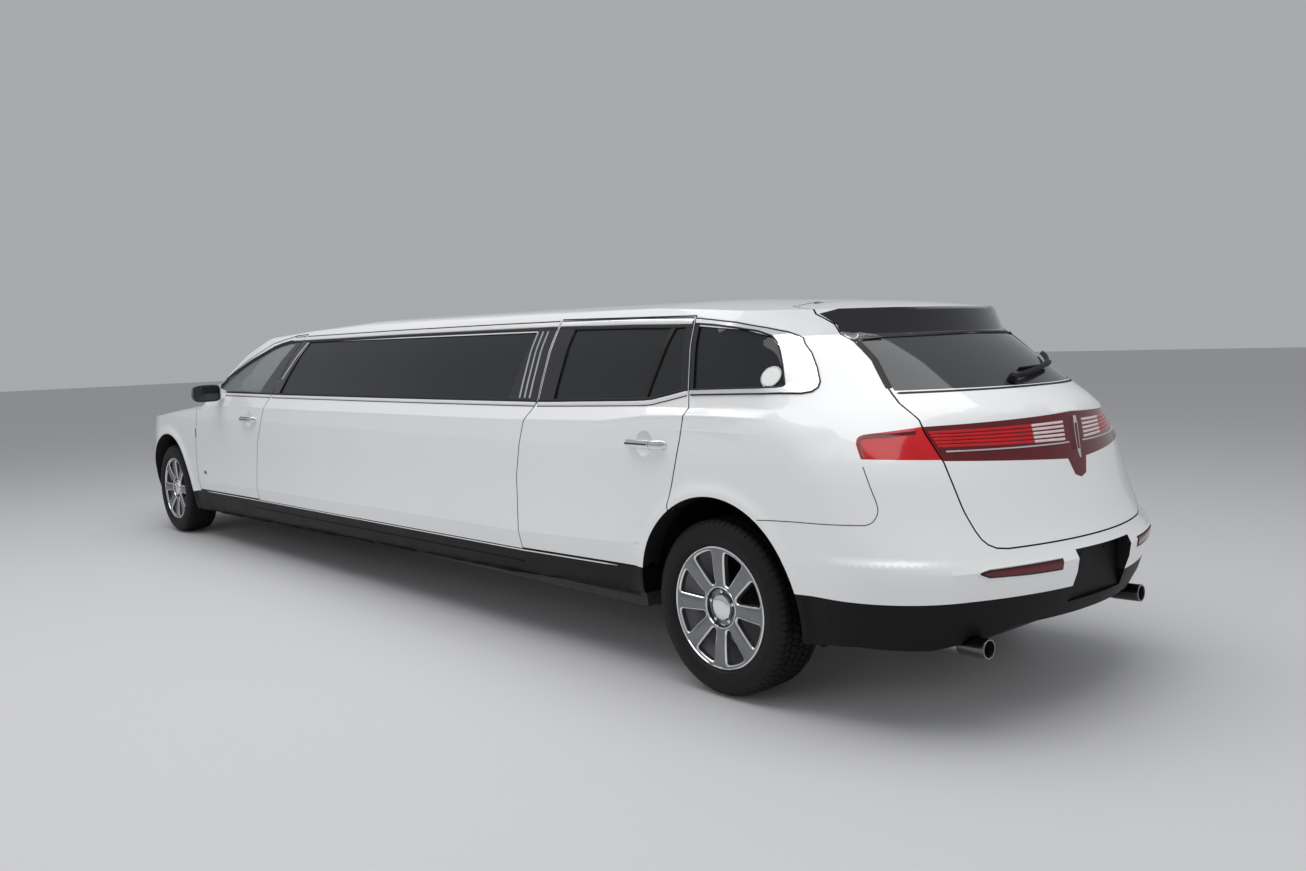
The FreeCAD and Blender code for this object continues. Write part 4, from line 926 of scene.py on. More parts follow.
# wiper: pivot, arm and blade across the glass's lower edge
hub, hub_normal = on_tail(0.150, 1.268)
arm_line = [(0.150, 1.268), (0.02, 1.283), (-0.14, 1.300), (-0.30, 1.312)]
blade_line = [(0.06, 1.298), (-0.12, 1.302), (-0.32, 1.322), (-0.50, 1.352)]


def lifted(line, height, wide, tall):
    """Bar held at one height over the rear glass."""
    hits = [on_tail(*p) for p in spread(line, 0.03)]
    return sweep([place + normal * height for place, normal in hits],
                 [normal for _, normal in hits], wide, tall, 0.004, taper=0.08)


ring = [Vector((0, math.cos(a), math.sin(a))) * 0.019 for a in np.linspace(0, 2 * math.pi, 21)[:-1]]
frame_turn = hub_normal.to_track_quat("X", "Z").to_matrix()
boss = [tuple(hub + frame_turn @ (v * s) + hub_normal * h)
        for s, h in ((1, -0.008), (1, 0.022), (0.8, 0.028)) for v in ring]
boss_faces = [[j * 20 + i, j * 20 + (i + 1) % 20, (j + 1) * 20 + (i + 1) % 20, (j + 1) * 20 + i]
              for j in range(2) for i in range(20)] + [list(range(40, 60)), list(range(20))[::-1]]
add_mesh("rear_wiper", *join([(boss, boss_faces), lifted(arm_line, 0.016, 0.020, 0.009),
                              lifted(blade_line, 0.006, 0.011, 0.016)]), BLACK, "liftgate")


# ---------------------------------------------------------------- wheels and tyres
FACE = 0.122
RIM_RADIUS = 0.2585
LIP_RADIUS = 0.2490
WINDOW_OUT, WINDOW_IN = 0.2385, 0.099
SPOKES = 8
TYRE_CENTRE = 0.008


def lathe(profile, count=96):
    """Turns (outward, radius) pairs about the wheel's axle."""
    points, faces = [], []
    for y, r in profile:
        points += [(r * math.cos(2 * math.pi * k / count), y, r * math.sin(2 * math.pi * k / count))
                   for k in range(count)]
    for j in range(len(profile) - 1):
        for k in range(count):
            n = (k + 1) % count
            faces.append([j * count + k, j * count + n, (j + 1) * count + n, (j + 1) * count + k])
    return points, faces


def rounded_outline(corners, count=8):
    """Closed polygon with its corners rounded; corners are (x, y, radius)."""
    out = []
    total = len(corners)
    for k, (x, y, radius) in enumerate(corners):
        if not radius:
            out.append((x, y))
            continue
        here = Vector((x, y))
        back = (Vector(corners[k - 1][:2]) - here).normalized()
        on = (Vector(corners[(k + 1) % total][:2]) - here).normalized()
        half = math.acos(max(-1, min(1, back.dot(on)))) / 2
        reach = radius / math.tan(half)
        middle = here + (back + on).normalized() * (radius / math.sin(half))
        one, two = here + back * reach - middle, here + on * reach - middle
        for i in range(count + 1):
            swing = Matrix.Rotation(one.angle_signed(two) * -i / count, 2)
            out.append(tuple(middle + swing @ one))
    return out


def window_outline(grow=0.0):
    """Window between two spokes, about the sector's middle line along +x."""
    def half_spoke(r):
        return 0.0275 + (0.0360 - 0.0275) * (r - 0.1) / 0.138 - grow

    def side(r):
        return math.pi / SPOKES - math.asin(half_spoke(r) / r)

    r_in, r_out = WINDOW_IN - grow, WINDOW_OUT + grow
    a_in, a_out = side(r_in), side(r_out)
    corners = [(r_in * math.cos(a_in), -r_in * math.sin(a_in), 0.0098 + grow),
               (r_out * math.cos(a_out), -r_out * math.sin(a_out), 0.011 + grow)]
    corners += [(r_out * math.cos(a_out * t), r_out * math.sin(a_out * t), 0)
                for t in (-0.6, -0.3, 0, 0.3, 0.6)]
    corners += [(r_out * math.cos(a_out), r_out * math.sin(a_out), 0.011 + grow),
                (r_in * math.cos(a_in), r_in * math.sin(a_in), 0.0098 + grow)]
    return rounded_outline(corners)


def sector_outline(r_in, r_out):
    half = math.pi / SPOKES
    arc = [half * t for t in np.linspace(-1, 1, 13)]
    return ([(r_out * math.cos(a), r_out * math.sin(a)) for a in arc] +
            [(r_in * math.cos(a), r_in * math.sin(a)) for a in reversed(arc)])


def reach(outline, centre, angle):
    """Where a ray from the centre leaves the outline."""
    way = Vector((math.cos(angle), math.sin(angle)))
    best = 0.0
    for a, b in zip(outline, outline[1:] + outline[:1]):
        a, b = Vector(a) - centre, Vector(b) - centre
        edge = b - a
        den = way.x * edge.y - way.y * edge.x
        if abs(den) < 1e-12:
            continue
        t = (a.x * edge.y - a.y * edge.x) / den
        s = (a.x * way.y - a.y * way.x) / den
        if t > 0 and -1e-6 <= s <= 1 + 1e-6:
            best = max(best, t)
    return tuple(centre + way * best)


def face_height(r):
    return FACE - 0.003 - 0.011 * (1 - min(1, max(0, (r - 0.09) / 0.12))) ** 1.5


# Finishes of a wheel's faces, in the order of its materials
FACED, CHROMED, SHADED, INSIDE = range(4)


def spoked_face():
    """Wheel face with a window between each two spokes: points, faces, finish of each face."""
    centre = Vector((0.172, 0))
    border = sector_outline(0.087, LIP_RADIUS)
    angles = [2 * math.pi * k / 56 for k in range(56)]
    for x, y in (border[0], border[12], border[13], border[25]):
        angles.append(math.atan2(y, x - centre.x) % (2 * math.pi))
    angles = sorted(set(round(a, 6) for a in angles))
    rings = [border, window_outline(0.0050), window_outline(0.0020), window_outline(-0.0010),
             window_outline(-0.0025), border]
    drops = [0.0, 0.0, 0.0012, 0.0050, 0.026, 0.032]
    flat = []
    for outline, drop in zip(rings, drops):
        for a in angles:
            x, y = reach(outline, centre, a)
            flat.append((x, y, face_height(math.hypot(x, y)) - drop))
    count = len(angles)
    points, faces, kinds = [], [], []
    for s in range(SPOKES):
        turn = 2 * math.pi * (s + 0.5) / SPOKES
        c, d = math.cos(turn), math.sin(turn)
        start = len(points)
        points += [(x * c - y * d, h, x * d + y * c) for x, y, h in flat]
        for j in range(len(rings) - 1):
            for k in range(count):
                n = (k + 1) % count
                faces.append([start + j * count + k, start + (j + 1) * count + k,
                              start + (j + 1) * count + n, start + j * count + n])
                kinds.append((FACED, CHROMED, CHROMED, SHADED, SHADED)[j])
    return points, faces, kinds


def wheel_frame(place, side):
    """Puts a wheel at its place with its face outward."""
    return Matrix.Translation(place) @ Matrix.Rotation(0 if side == 1 else math.pi, 4, "Z")


def build_wheel(name, place, side, body):
    move = wheel_frame(place, side)
    points, faces, indices = spoked_face()
    parts = [(points, faces)]

    def more(part, kind):
        parts.append(part)
        indices.extend([kind] * len(part[1]))

    # lip, barrel and inner flange
    more(lathe([(FACE - 0.003, LIP_RADIUS), (FACE + 0.0005, LIP_RADIUS + 0.002),
                (FACE + 0.001, 0.2535), (FACE - 0.001, 0.2570), (FACE - 0.005, RIM_RADIUS),
                (FACE - 0.009, 0.2570), (FACE - 0.011, 0.2500)]), CHROMED)
    more(lathe([(FACE - 0.032, LIP_RADIUS - 0.001), (0.066, 0.2440), (0.030, 0.2330),
                (-0.030, 0.2250), (-0.080, 0.2320), (-0.094, 0.2420), (-0.0985, 0.2540),
                (-0.0980, RIM_RADIUS), (-0.0920, RIM_RADIUS), (-0.088, 0.2480)]), INSIDE)
    # bright ring, bowl, lug nuts and bare cap
    ring = face_height(0.086)
    more(lathe([(ring - 0.001, 0.0885), (ring + 0.0018, 0.0870), (ring + 0.0018, 0.0845),
                (ring - 0.002, 0.0825)], 64), CHROMED)
    more(lathe([(ring - 0.002, 0.0825), (ring - 0.018, 0.0790), (ring - 0.022, 0.0750),
                (ring - 0.023, 0.0560)], 64), FACED)
    more(lathe([(ring - 0.023, 0.0535), (ring - 0.008, 0.0530), (ring - 0.0035, 0.0510),
                (ring - 0.001, 0.0460), (ring + 0.0015, 0.0350), (ring + 0.0030, 0.0200),
                (ring + 0.0036, 0.0010)], 48), CHROMED)
    for k in range(5):
        a = math.pi / 2 + 2 * math.pi * k / 5
        nut, nut_faces = lathe([(ring - 0.024, 0.0095), (ring - 0.009, 0.0095),
                                (ring - 0.006, 0.0080), (ring - 0.0045, 0.0050),
                                (ring - 0.004, 0.0005)], 6)
        more(([(x + 0.0665 * math.cos(a), y, z + 0.0665 * math.sin(a)) for x, y, z in nut],
              nut_faces), CHROMED)
    # hub behind the spokes
    more(lathe([(ring - 0.030, 0.0010), (ring - 0.030, 0.0900), (ring - 0.045, 0.0860),
                (0.030, 0.0720), (-0.020, 0.0700)], 48), SHADED)
    points, faces = join(parts)
    points = [tuple(move @ Vector(p)) for p in points]
    add_mesh(name + "_alloy", points, faces, ALLOY, body, "bright_alloy", (name,), 30,
             (CHROME, ALLOY_SHADE, BARREL), indices)


TREAD_PITCHES = 74
TREAD_ROWS = [(-0.096, -0.066), (-0.057, -0.024), (-0.016, 0.016), (0.024, 0.057), (0.066, 0.096)]
# Shoulder lug, (outward, radius): four places along its outside, then four in the rubber
LUG_SECTION = [(0.100, 0.3635), (0.1075, 0.3585), (0.1150, 0.3490), (0.1208, 0.3375),
               (0.100, 0.3540), (0.1040, 0.3540), (0.110, 0.3470), (0.1160, 0.3375)]


def tread_height(y):
    """Radius of the tread's crown at a distance from the tyre's centre."""
    return 0.3703 - 0.55 * y * y


def build_tyre(name, place, side, body):
    move = wheel_frame(place, side) @ Matrix.Translation((0, TYRE_CENTRE, 0))
    wall = [(0.0985, 0.2480), (0.1080, 0.2560), (0.1140, 0.2630), (0.1205, 0.2680),
            (0.1225, 0.2700), (0.1215, 0.2720), (0.1235, 0.2760), (0.1262, 0.2900),
            (0.1272, 0.3010), (0.1268, 0.3040), (0.1277, 0.3055), (0.1266, 0.3080),
            (0.1255, 0.3200), (0.1225, 0.3320), (0.1215, 0.3340), (0.1218, 0.3355),
            (0.1180, 0.3430), (0.1120, 0.3510), (0.1040, 0.3565)]
    floor_line = [(y, tread_height(y) - 0.0060) for y in np.linspace(0.098, -0.098, 9)]
    inside = [(-0.090, 0.2480), (0.090, 0.2480)]
    profile = wall + floor_line + [(-y, r) for y, r in reversed(wall)] + inside + [wall[0]]
    parts = [lathe(profile, 112)]
    step = 2 * math.pi / TREAD_PITCHES
    for row, (low, high) in enumerate(TREAD_ROWS):
        edge = row in (0, 4)
        slant = (0.35, -0.22, 0.22, -0.22, 0.35)[row] * step
        shift = 0.5 * step * (row % 2)
        gap = 0.055 * step if edge else 0.075 * step
        for k in range(TREAD_PITCHES):
            base = k * step + shift
            block = []
            for depth, inset in ((0.0080, -0.0010), (0.0006, 0.0), (0.0, 0.0012)):
                for y, lean in ((low + inset, -0.5), (high - inset, 0.5)):
                    for t in (0, 0.5, 1) if lean < 0 else (1, 0.5, 0):
                        a0 = base + gap + inset / 0.37
                        a1 = base + step - gap - inset / 0.37
                        a = a0 + (a1 - a0) * t + slant * lean
                        r = tread_height(y) - depth
                        block.append((r * math.cos(a), y, r * math.sin(a)))
            faces = []
            for j in range(2):
                for i in range(6):
                    n = (i + 1) % 6
                    faces.append([j * 6 + i, j * 6 + n, (j + 1) * 6 + n, (j + 1) * 6 + i])
            faces += [[12, 13, 16, 17], [13, 14, 15, 16]]
            parts.append((block, faces))
        if edge:
            # shoulder lugs run down the sidewall's top
            sign = 1 if low > 0 else -1
            for k in range(TREAD_PITCHES):
                base = k * step + shift + slant * 0.5 * sign
                lug = []
                for y, r in LUG_SECTION:
                    for t in (0.07, 0.93):
                        a = base + step * t
                        lug.append((r * math.cos(a), sign * y, r * math.sin(a)))
                faces = [[0, 2, 3, 1], [2, 4, 5, 3], [4, 6, 7, 5], [0, 8, 10, 2], [2, 10, 12, 4],
                         [4, 12, 14, 6], [1, 3, 11, 9], [3, 5, 13, 11], [5, 7, 15, 13],
                         [6, 14, 15, 7], [0, 1, 9, 8]]
                if sign < 0:
                    faces = [f[::-1] for f in faces]
                parts.append((lug, faces))
    points, faces = join(parts)
    points = [tuple(move @ Vector(p)) for p in points]
    add_mesh(name + "_rubber", points, faces, TYRE, body, "rubber_tyre", (name,), 40)


WHEEL_PLACE = joint_place["left_rear_wheel_spin"][1]
for side, side_name in SIDES:
    for end, axle in (("front", FRONT), ("rear", REAR)):
        wheel_place = (axle, side * WHEEL_PLACE, AXLE_HEIGHT)
        body = f"{side_name}_{end}_wheel"
        build_wheel(f"{side_name}_{end}_wheel", wheel_place, side, body)
        build_tyre(f"{side_name}_{end}_tyre", wheel_place, side, body)


# ---------------------------------------------------------------- door handles, mirrors, marks
def loft(rings, closed_ends=True):
    """Skin through rings that have the same number of points."""
    count = len(rings[0])
    points = [tuple(p) for ring in rings for p in ring]
    faces = [[j * count + k, j * count + (k + 1) % count, (j + 1) * count + (k + 1) % count,
              (j + 1) * count + k] for j in range(len(rings) - 1) for k in range(count)]
    if closed_ends:
        faces.append(list(range(count))[::-1])
        faces.append(list(range((len(rings) - 1) * count, len(rings) * count)))
    return points, faces


def box_rings(x0, x1, y0, y1, heights):
    """Rectangular rings of a block, one at each height."""
    return [[Vector((x0, y0, z)), Vector((x1, y0, z)), Vector((x1, y1, z)), Vector((x0, y1, z))]
            for z in heights]


def oval(centre, across, up_way, wide, tall, power=2.0, count=24):
    ring = []
    for k in range(count):
        a = 2 * math.pi * k / count
        c, s = math.cos(a), math.sin(a)
        ring.append(centre + across * (wide * math.copysign(abs(c) ** (2 / power), c)) +
                    up_way * (tall * math.copysign(abs(s) ** (2 / power), s)))
    return ring


def build_handle(prefix, side, u_rear, u_front, height, body):
    """Bar that leaves the skin at both ends, with its slot and lock block."""
    flank = on_side(side)
    start, finish = flank(u_rear - 0.02, height), flank(u_front + 0.02, height)
    out = Vector((0, side, 0))
    rings = []
    for t in np.linspace(0, 1, 33):
        u = u_rear + (u_front - u_rear) * t
        base_y = start[0].y + (finish[0].y - start[0].y) * t
        ends = min(t, 1 - t)
        rise = 0.004 + 0.026 * float(smoothstep(0, 0.16, ends))
        thick = 0.0035 + 0.0065 * float(smoothstep(0, 0.10, ends))
        tall = 0.008 + 0.0115 * float(smoothstep(-0.02, 0.07, ends))
        centre = Vector((REAR + u, base_y + side * rise, height))
        rings.append(oval(centre, out, Z_AXIS, thick, tall, 2.6))
    add_mesh(prefix + "_handle", *loft(rings), CHROME, body)
    base = start[0].y * 0.5 + finish[0].y * 0.5
    slot_rings = []
    for t in np.linspace(0.30, 0.90, 13):
        u = u_rear + (u_front - u_rear) * t
        end_drop = 0.0016 * (1 - float(smoothstep(0, 0.05, min(t - 0.30, 0.90 - t))))
        centre = Vector((REAR + u, base + side * (0.0372 - end_drop), height + 0.001))
        slot_rings.append(oval(centre, out, Z_AXIS, 0.0035, 0.0046, 3.0, 16))
    add_mesh(prefix + "_handle_slot", *loft(slot_rings), GLOSS, body)
    cut = REAR + u_rear + (u_front - u_rear) * 0.285
    cut_rings = [oval(Vector((cut + dx, base + side * 0.0295, height)), out, Z_AXIS, 0.0108,
                      0.0199, 2.6) for dx in (-0.0008, 0.0008)]
    add_mesh(prefix + "_handle_cut", *loft(cut_rings), SEAL_AND_GAP_SHADE, body)
    feet = []
    for u in (u_rear + 0.012, u_front - 0.012):
        place, _ = flank(u, height)
        foot = [oval(Vector((REAR + u, place.y + side * h, height)), X_AXIS, Z_AXIS, w, w * 0.85,
                     2.4) for h, w in ((-0.012, 0.016), (0.002, 0.0155), (0.004, 0.012))]
        feet.append(loft(foot))
    add_mesh(prefix + "_handle_feet", *join(feet), CHROME, body)


for side, name in SIDES:
    build_handle(name + "_rear_door", side, 0.272, 0.531, 1.034, name + "_rear_door")
    build_handle(name + "_front_door", side, 4.670, 4.930, 1.010, name + "_front_door")

    # mirror: cap, glass set into its rear, stalk and foot
    front_x, rear_x = REAR + 5.434, REAR + 5.313

    def mirror_oval(x, wide, tall, power):
        return oval(Vector((x, side * 1.062, 1.197)), Vector((0, side, 0)), Z_AXIS, wide, tall,
                    power, 40)

    cap = [mirror_oval(*row) for row in (
        (rear_x + 0.012, 0.0895, 0.0555, 5.0), (rear_x + 0.001, 0.0905, 0.0565, 5.0),
        (rear_x, 0.094, 0.0600, 5.0), (rear_x + 0.004, 0.099, 0.0640, 5.0),
        (rear_x + 0.030, 0.1015, 0.0645, 4.5), (rear_x + 0.060, 0.098, 0.0610, 4.0),
        (rear_x + 0.090, 0.084, 0.0500, 3.2), (rear_x + 0.108, 0.060, 0.0340, 2.6),
        (front_x, 0.020, 0.0110, 2.2))]
    add_mesh(name + "_mirror_cap", *loft(cap), GLOSS, name + "_front_door", "black_plastic",
             (name + "_mirror",), 40)
    glass = [mirror_oval(rear_x + x, w, t, 5.0)
             for x, w, t in ((0.010, 0.088, 0.054), (0.006, 0.088, 0.054), (0.005, 0.086, 0.052))]
    add_mesh(name + "_mirror_glass", *loft(glass), MIRROR, name + "_front_door")
    foot_from = Vector((REAR + 5.400, side * 0.900, 1.158))
    foot_to = Vector((REAR + 5.375, side * 0.985, 1.163))
    stalk = [oval(foot_from.lerp(foot_to, t), X_AXIS, Z_AXIS, w, h, 2.6)
             for t, w, h in ((0, 0.060, 0.024), (0.3, 0.048, 0.020), (0.7, 0.038, 0.017),
                             (1, 0.036, 0.020))]
    add_mesh(name + "_mirror_arm", *loft(stalk), PAINT, name + "_front_door")
    blade = [oval(Vector((REAR + 5.328, side * 0.958, z)), X_AXIS, Y_AXIS, w, 0.0055,
                  2.4, 16) for z, w in ((1.135, 0.010), (1.150, 0.016), (1.240, 0.016),
                                        (1.256, 0.008))]
    add_mesh(name + "_mirror_side", *loft(blade), SATIN, name + "_front_door")
    # small vent and plain oval mark
    flank = on_side(side)
    add_mesh(name + "_fender_vent", *strip([(5.900, 0.905), (5.894, 0.830)], flank, 0.014, 0.003,
                                           taper=0.2), SEAL_AND_GAP_SHADE, "body")
    add_mesh(name + "_fender_vent_rim", *join([
        strip([(5.911, 0.910), (5.905, 0.825)], flank, 0.004, 0.005, taper=0.1),
        strip([(5.889, 0.910), (5.883, 0.825)], flank, 0.004, 0.005, taper=0.1)]), CHROME, "body")
    add_mesh(name + "_door_mark", *sheet_between(
        [(5.772, 0.557), (5.760, 0.549), (5.745, 0.546), (5.730, 0.549), (5.718, 0.557)],
        [(5.772, 0.563), (5.760, 0.571), (5.745, 0.574), (5.730, 0.571), (5.718, 0.563)], flank,
        lift=0.002, rows=3), GLOSS, name + "_front_door")
    # bright line along the skirt's top, and its ridge
    add_mesh(name + "_skirt_strip", *strip(
        [(5.80, 0.4020), (4.736, 0.4165), (1.389, 0.4505), (0.640, 0.4690)], flank, 0.006, 0.002,
        taper=0.02), BRIGHT, "body")
    add_mesh(name + "_skirt_ridge", *strip(
        [(4.896, 0.349), (1.402, 0.386)], flank, 0.012, 0.005, taper=0.02), BLACK, "body")

# ---------------------------------------------------------------- nose
def nose_line(half, height, count=12):
    return [(half * (2 * k / count - 1), height) for k in range(count + 1)]


NOSE_TIP = max(float(points[:, 0].max()) for points, _, _ in skins.values())


def behind_tip(points, faces):
    """The shape flattened where it would stand out past the nose."""
    return [(min(p[0], NOSE_TIP), p[1], p[2]) for p in points], faces


slats = [strip(nose_line(0.425 + 0.035 * (1 - abs(z - 0.70) / 0.18), z), on_nose, 0.013, 0.012,
               sink=0.004)
         for z in np.linspace(0.595, 0.845, 8)]
add_mesh("grille_slats", *behind_tip(*join(slats)), CHROME, "body")
surround = [(-0.430, 0.567), (-0.463, 0.700), (-0.434, 0.872), (0.434, 0.872), (0.463, 0.700),
            (0.430, 0.567), (-0.430, 0.567)]
add_mesh("grille_surround", *behind_tip(*strip(surround, on_nose, 0.022, 0.010, sink=0.006)),
         CHROME, "body")
add_mesh("lower_intake", *sheet_between(nose_line(0.56, 0.315), nose_line(0.50, 0.445), on_nose,
                                        lift=0.002), GLOSS, "body")
add_mesh("lower_intake_bars", *join([strip(nose_line(0.54 - 0.4 * (z - 0.33), z), on_nose, 0.010,
                                           0.008)
                                     for z in (0.348, 0.380, 0.412)]), BLACK, "body")
for side, name in SIDES:
    add_mesh(name + "_fog_lamp_ring", *disc((side * 0.690, 0.400), 0.052, on_nose, 0.005,
                                            inner=0.040),
             CHROME, "body")
    add_mesh(name + "_fog_lamp", *disc((side * 0.690, 0.400), 0.040, on_nose, 0.002), BARREL,
             "body")
    for k, (y, z, radius) in enumerate(((0.585, 0.822, 0.044), (0.690, 0.832, 0.040))):
        place, normal = on_nose(side * y, z)
        turn = normal.to_track_quat("X", "Z").to_matrix()
        rings = []
        for depth, r in ((-0.006, radius * 1.08), (-0.004, radius), (-0.016, radius * 0.72),
                         (-0.022, radius * 0.34), (-0.014, radius * 0.26), (-0.009, radius * 0.05)):
            rings.append([place + normal * depth + turn @ Vector((0, math.cos(a), math.sin(a))) * r
                          for a in np.linspace(0, 2 * math.pi, 33)[:-1]])
        add_mesh(f"{name}_lamp_bowl_{k}", *loft(rings), CHROME, "body")

# ---------------------------------------------------------------- tail pipes, plate recess
for side, name in SIDES:
    tip_front = Vector((REAR - 0.860, side * 0.585, 0.316))
    tip_end = Vector((REAR - 1.045, side * 0.592, 0.320))
    way = (tip_end - tip_front).normalized()
    across = way.cross(Z_AXIS).normalized()
    high = across.cross(way)
    rings = [oval(tip_front.lerp(tip_end, t), across, high, r, r, 2, 48)
             for t, r in ((0.36, 0.0362), (0.37, 0.0372), (0.96, 0.0372), (0.985, 0.0378),
                          (0.998, 0.0366), (0.999, 0.0345), (0.98, 0.0330), (0.72, 0.0318))]
    add_mesh(name + "_tail_pipe_tip", *loft(rings, False), TIP, "body")
    bore = [oval(tip_front.lerp(tip_end, t), across, high, r, r, 2, 32) for t, r in
            ((0.705, 0.0005), (0.706, 0.0315), (0.97, 0.0317))]
    add_mesh(name + "_tail_pipe_bore", *loft(bore, False), SOOT, "body")
recess_x = REAR - 1.125
plate_back = [(recess_x - 0.0015, y, z) for y, z in (
    (-0.2035, 0.4415), (0.2035, 0.4415), (0.2035, 0.6435), (-0.2035, 0.6435))]
plate_back += [(recess_x - 0.0045, y * 0.99, z) for _, y, z in plate_back]
holes = []
for y in (-0.0889, 0.0889):
    holes.append(loft([oval(Vector((recess_x - d, y, 0.608)), Y_AXIS, Z_AXIS, r, r, 2, 16)
                       for d, r in ((0.004, 0.0075), (0.0062, 0.0070), (0.0062, 0.0033),
                                    (0.0010, 0.0033))], False))
add_mesh("plate_panel", *join([(plate_back, [[0, 1, 5, 4], [1, 2, 6, 5], [2, 3, 7, 6], [3, 0, 4, 7],
                                             [4, 5, 6, 7]]), *holes]), BLACK, "body")


# ---------------------------------------------------------------- cabin
def soft_block(low, high, crown, pull, channels=(), power=5.0, segments=26):
    """Crowned closed cushion between two corners, its sides pulled in between the corners."""
    low, high = Vector(low), Vector(high)
    middle, half = (low + high) / 2, (high - low) / 2
    grid = np.linspace(-1, 1, segments + 1)
    index, points, faces = {}, [], []

    def vertex(p):
        key = tuple(round(v, 5) for v in p)
        if key not in index:
            index[key] = len(points)
            points.append(p)
        return index[key]

    for axis in range(3):
        for sign in (-1, 1):
            for a, b in zip(grid, grid[1:]):
                for c, d in zip(grid, grid[1:]):
                    quad = []
                    for s, t in ((a, c), (b, c), (b, d), (a, d)):
                        p = [0, 0, 0]
                        p[axis] = sign
                        p[(axis + 1) % 3], p[(axis + 2) % 3] = s, t
                        quad.append(vertex(tuple(p)))
                    faces.append(quad if sign > 0 else quad[::-1])
    p = np.array(points)
    q = p / (np.abs(p) ** power).sum(1, keepdims=True) ** (1 / power)
    x, y, z = q.T.copy()
    top = np.clip(z, 0, 1)
    rise = crown * top * (1 - x ** 2) * (1 - y ** 2)
    x = x * (1 - pull * (1 - y ** 2) * np.abs(x))
    y = y * (1 - pull * (1 - q[:, 0] ** 2) * np.abs(y))
    out = np.stack([middle.x + half.x * x, middle.y + half.y * y,
                    middle.z + half.z * z * (1 - crown * 0.5) +
                    half.z * (rise - crown * 0.5 * top)], 1)
    for line_axis, where, depth in channels:
        value = q[:, 0] if line_axis == "x" else q[:, 1]
        out[:, 2] -= depth * np.exp(-((value - where) / 0.035) ** 2) * smoothstep(0.1, 0.7, z)
    seam = 0.0035 * np.exp(-((z - 0.72) / 0.05) ** 2)
    around = unit(np.stack([q[:, 0], q[:, 1], 0 * z], 1))
    return [tuple(v) for v in out - around * seam[:, None]], faces


def turned(part, centre, axis, degrees):
    points, faces = part
    centre = Vector(centre)
    turn = Matrix.Rotation(math.radians(degrees), 3, axis)
    return [tuple(centre + turn @ (Vector(p) - centre)) for p in points], faces


def upright(part):
    """Stands a cushion made lying down: its crowned top then faces forward."""
    points, faces = part
    return [(p[2], p[1], -p[0]) for p in points], faces


def add_cushion(name, part, body, replaces=()):
    piece = add_mesh(name, *part, LEATHER, body, "seat_leather", replaces, 80)


def back_cushion(x_low, x_high, y_low, y_high, z_low, z_high, lean=0.0, channels=()):
    """Back rest: made lying down, then stood up with its crown facing forward."""
    part = soft_block((-z_high, y_low, x_low), (-z_low, y_high, x_high), 0.30, 0.05, channels)
    return turned(upright(part), ((x_low + x_high) / 2, 0, z_low), "Y", lean)


seat_low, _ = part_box("front_seats")
rib_lines = [("y", v, 0.006) for v in (-0.55, -0.18, 0.18, 0.55)]
for side, name in SIDES:
    y0, y1 = sorted((side * 0.380 - 0.245, side * 0.380 + 0.245))
    x0 = seat_low[0] + 0.110
    z0 = seat_low[2]
    base = add_mesh(name + "_seat_base", *loft([
        [Vector((x0 + 0.05 + sx * (0.42 - inset), (y0 + y1) / 2 + sy * (0.20 - inset), z0 + h))
         for sx, sy in ((0, -1), (1, -1), (1, 1), (0, 1))]
        for h, inset in ((0.002, 0.02), (0.10, 0.0), (0.16, 0.0))]), TRIM, "body")
    bevelled(base, 0.012)
    add_cushion(name + "_seat_cushion",
                soft_block((x0, y0, z0 + 0.15), (x0 + 0.515, y1, z0 + 0.335), 0.22, 0.05,
                           rib_lines), "body", ("front_seats",) if side == 1 else ())
    add_cushion(name + "_seat_back",
                back_cushion(seat_low[0] + 0.012, x0 + 0.035, y0 + 0.005, y1 - 0.005, z0 + 0.27,
                             z0 + 0.855, -6, rib_lines), "body")
    add_cushion(name + "_head_rest",
                back_cushion(seat_low[0] + 0.004, seat_low[0] + 0.094, side * 0.38 - 0.128,
                             side * 0.38 + 0.128, z0 + 0.875, z0 + 1.030, 0), "body")
    posts = [loft([oval(Vector((seat_low[0] + 0.050, side * 0.38 + dy, z)), X_AXIS,
                        Y_AXIS, 0.006, 0.006, 2, 12) for z in (z0 + 0.80, z0 + 0.93)])
             for dy in (-0.06, 0.06)]
    add_mesh(name + "_head_rest_posts", *join(posts), CHROME, "body")

low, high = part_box("lounge_seat")
third = (high[1] - low[1]) / 3
for k in range(3):
    y0, y1 = low[1] + third * k + 0.002, low[1] + third * (k + 1) - 0.002
    add_cushion(f"lounge_cushion_{k}",
                soft_block((low[0] + 0.125, y0, low[2] + 0.13), (high[0], y1, low[2] + 0.30), 0.25,
                           0.05, [("y", v, 0.006) for v in (-0.4, 0, 0.4)]), "body",
                ("lounge_seat",) if k == 0 else ())
    add_cushion(f"lounge_back_{k}",
                back_cushion(low[0] + 0.02, low[0] + 0.15, y0, y1, low[2] + 0.13, high[2] - 0.002,
                             0, [("y", v, 0.005) for v in (-0.4, 0, 0.4)]), "body")
base = add_mesh("lounge_base", *loft(box_rings(
    low[0] + 0.01, high[0] - 0.03, low[1] + 0.01, high[1] - 0.01,
    [low[2] + h for h in (0.002, 0.07, 0.14)])), TRIM, "body")
bevelled(base, 0.01)


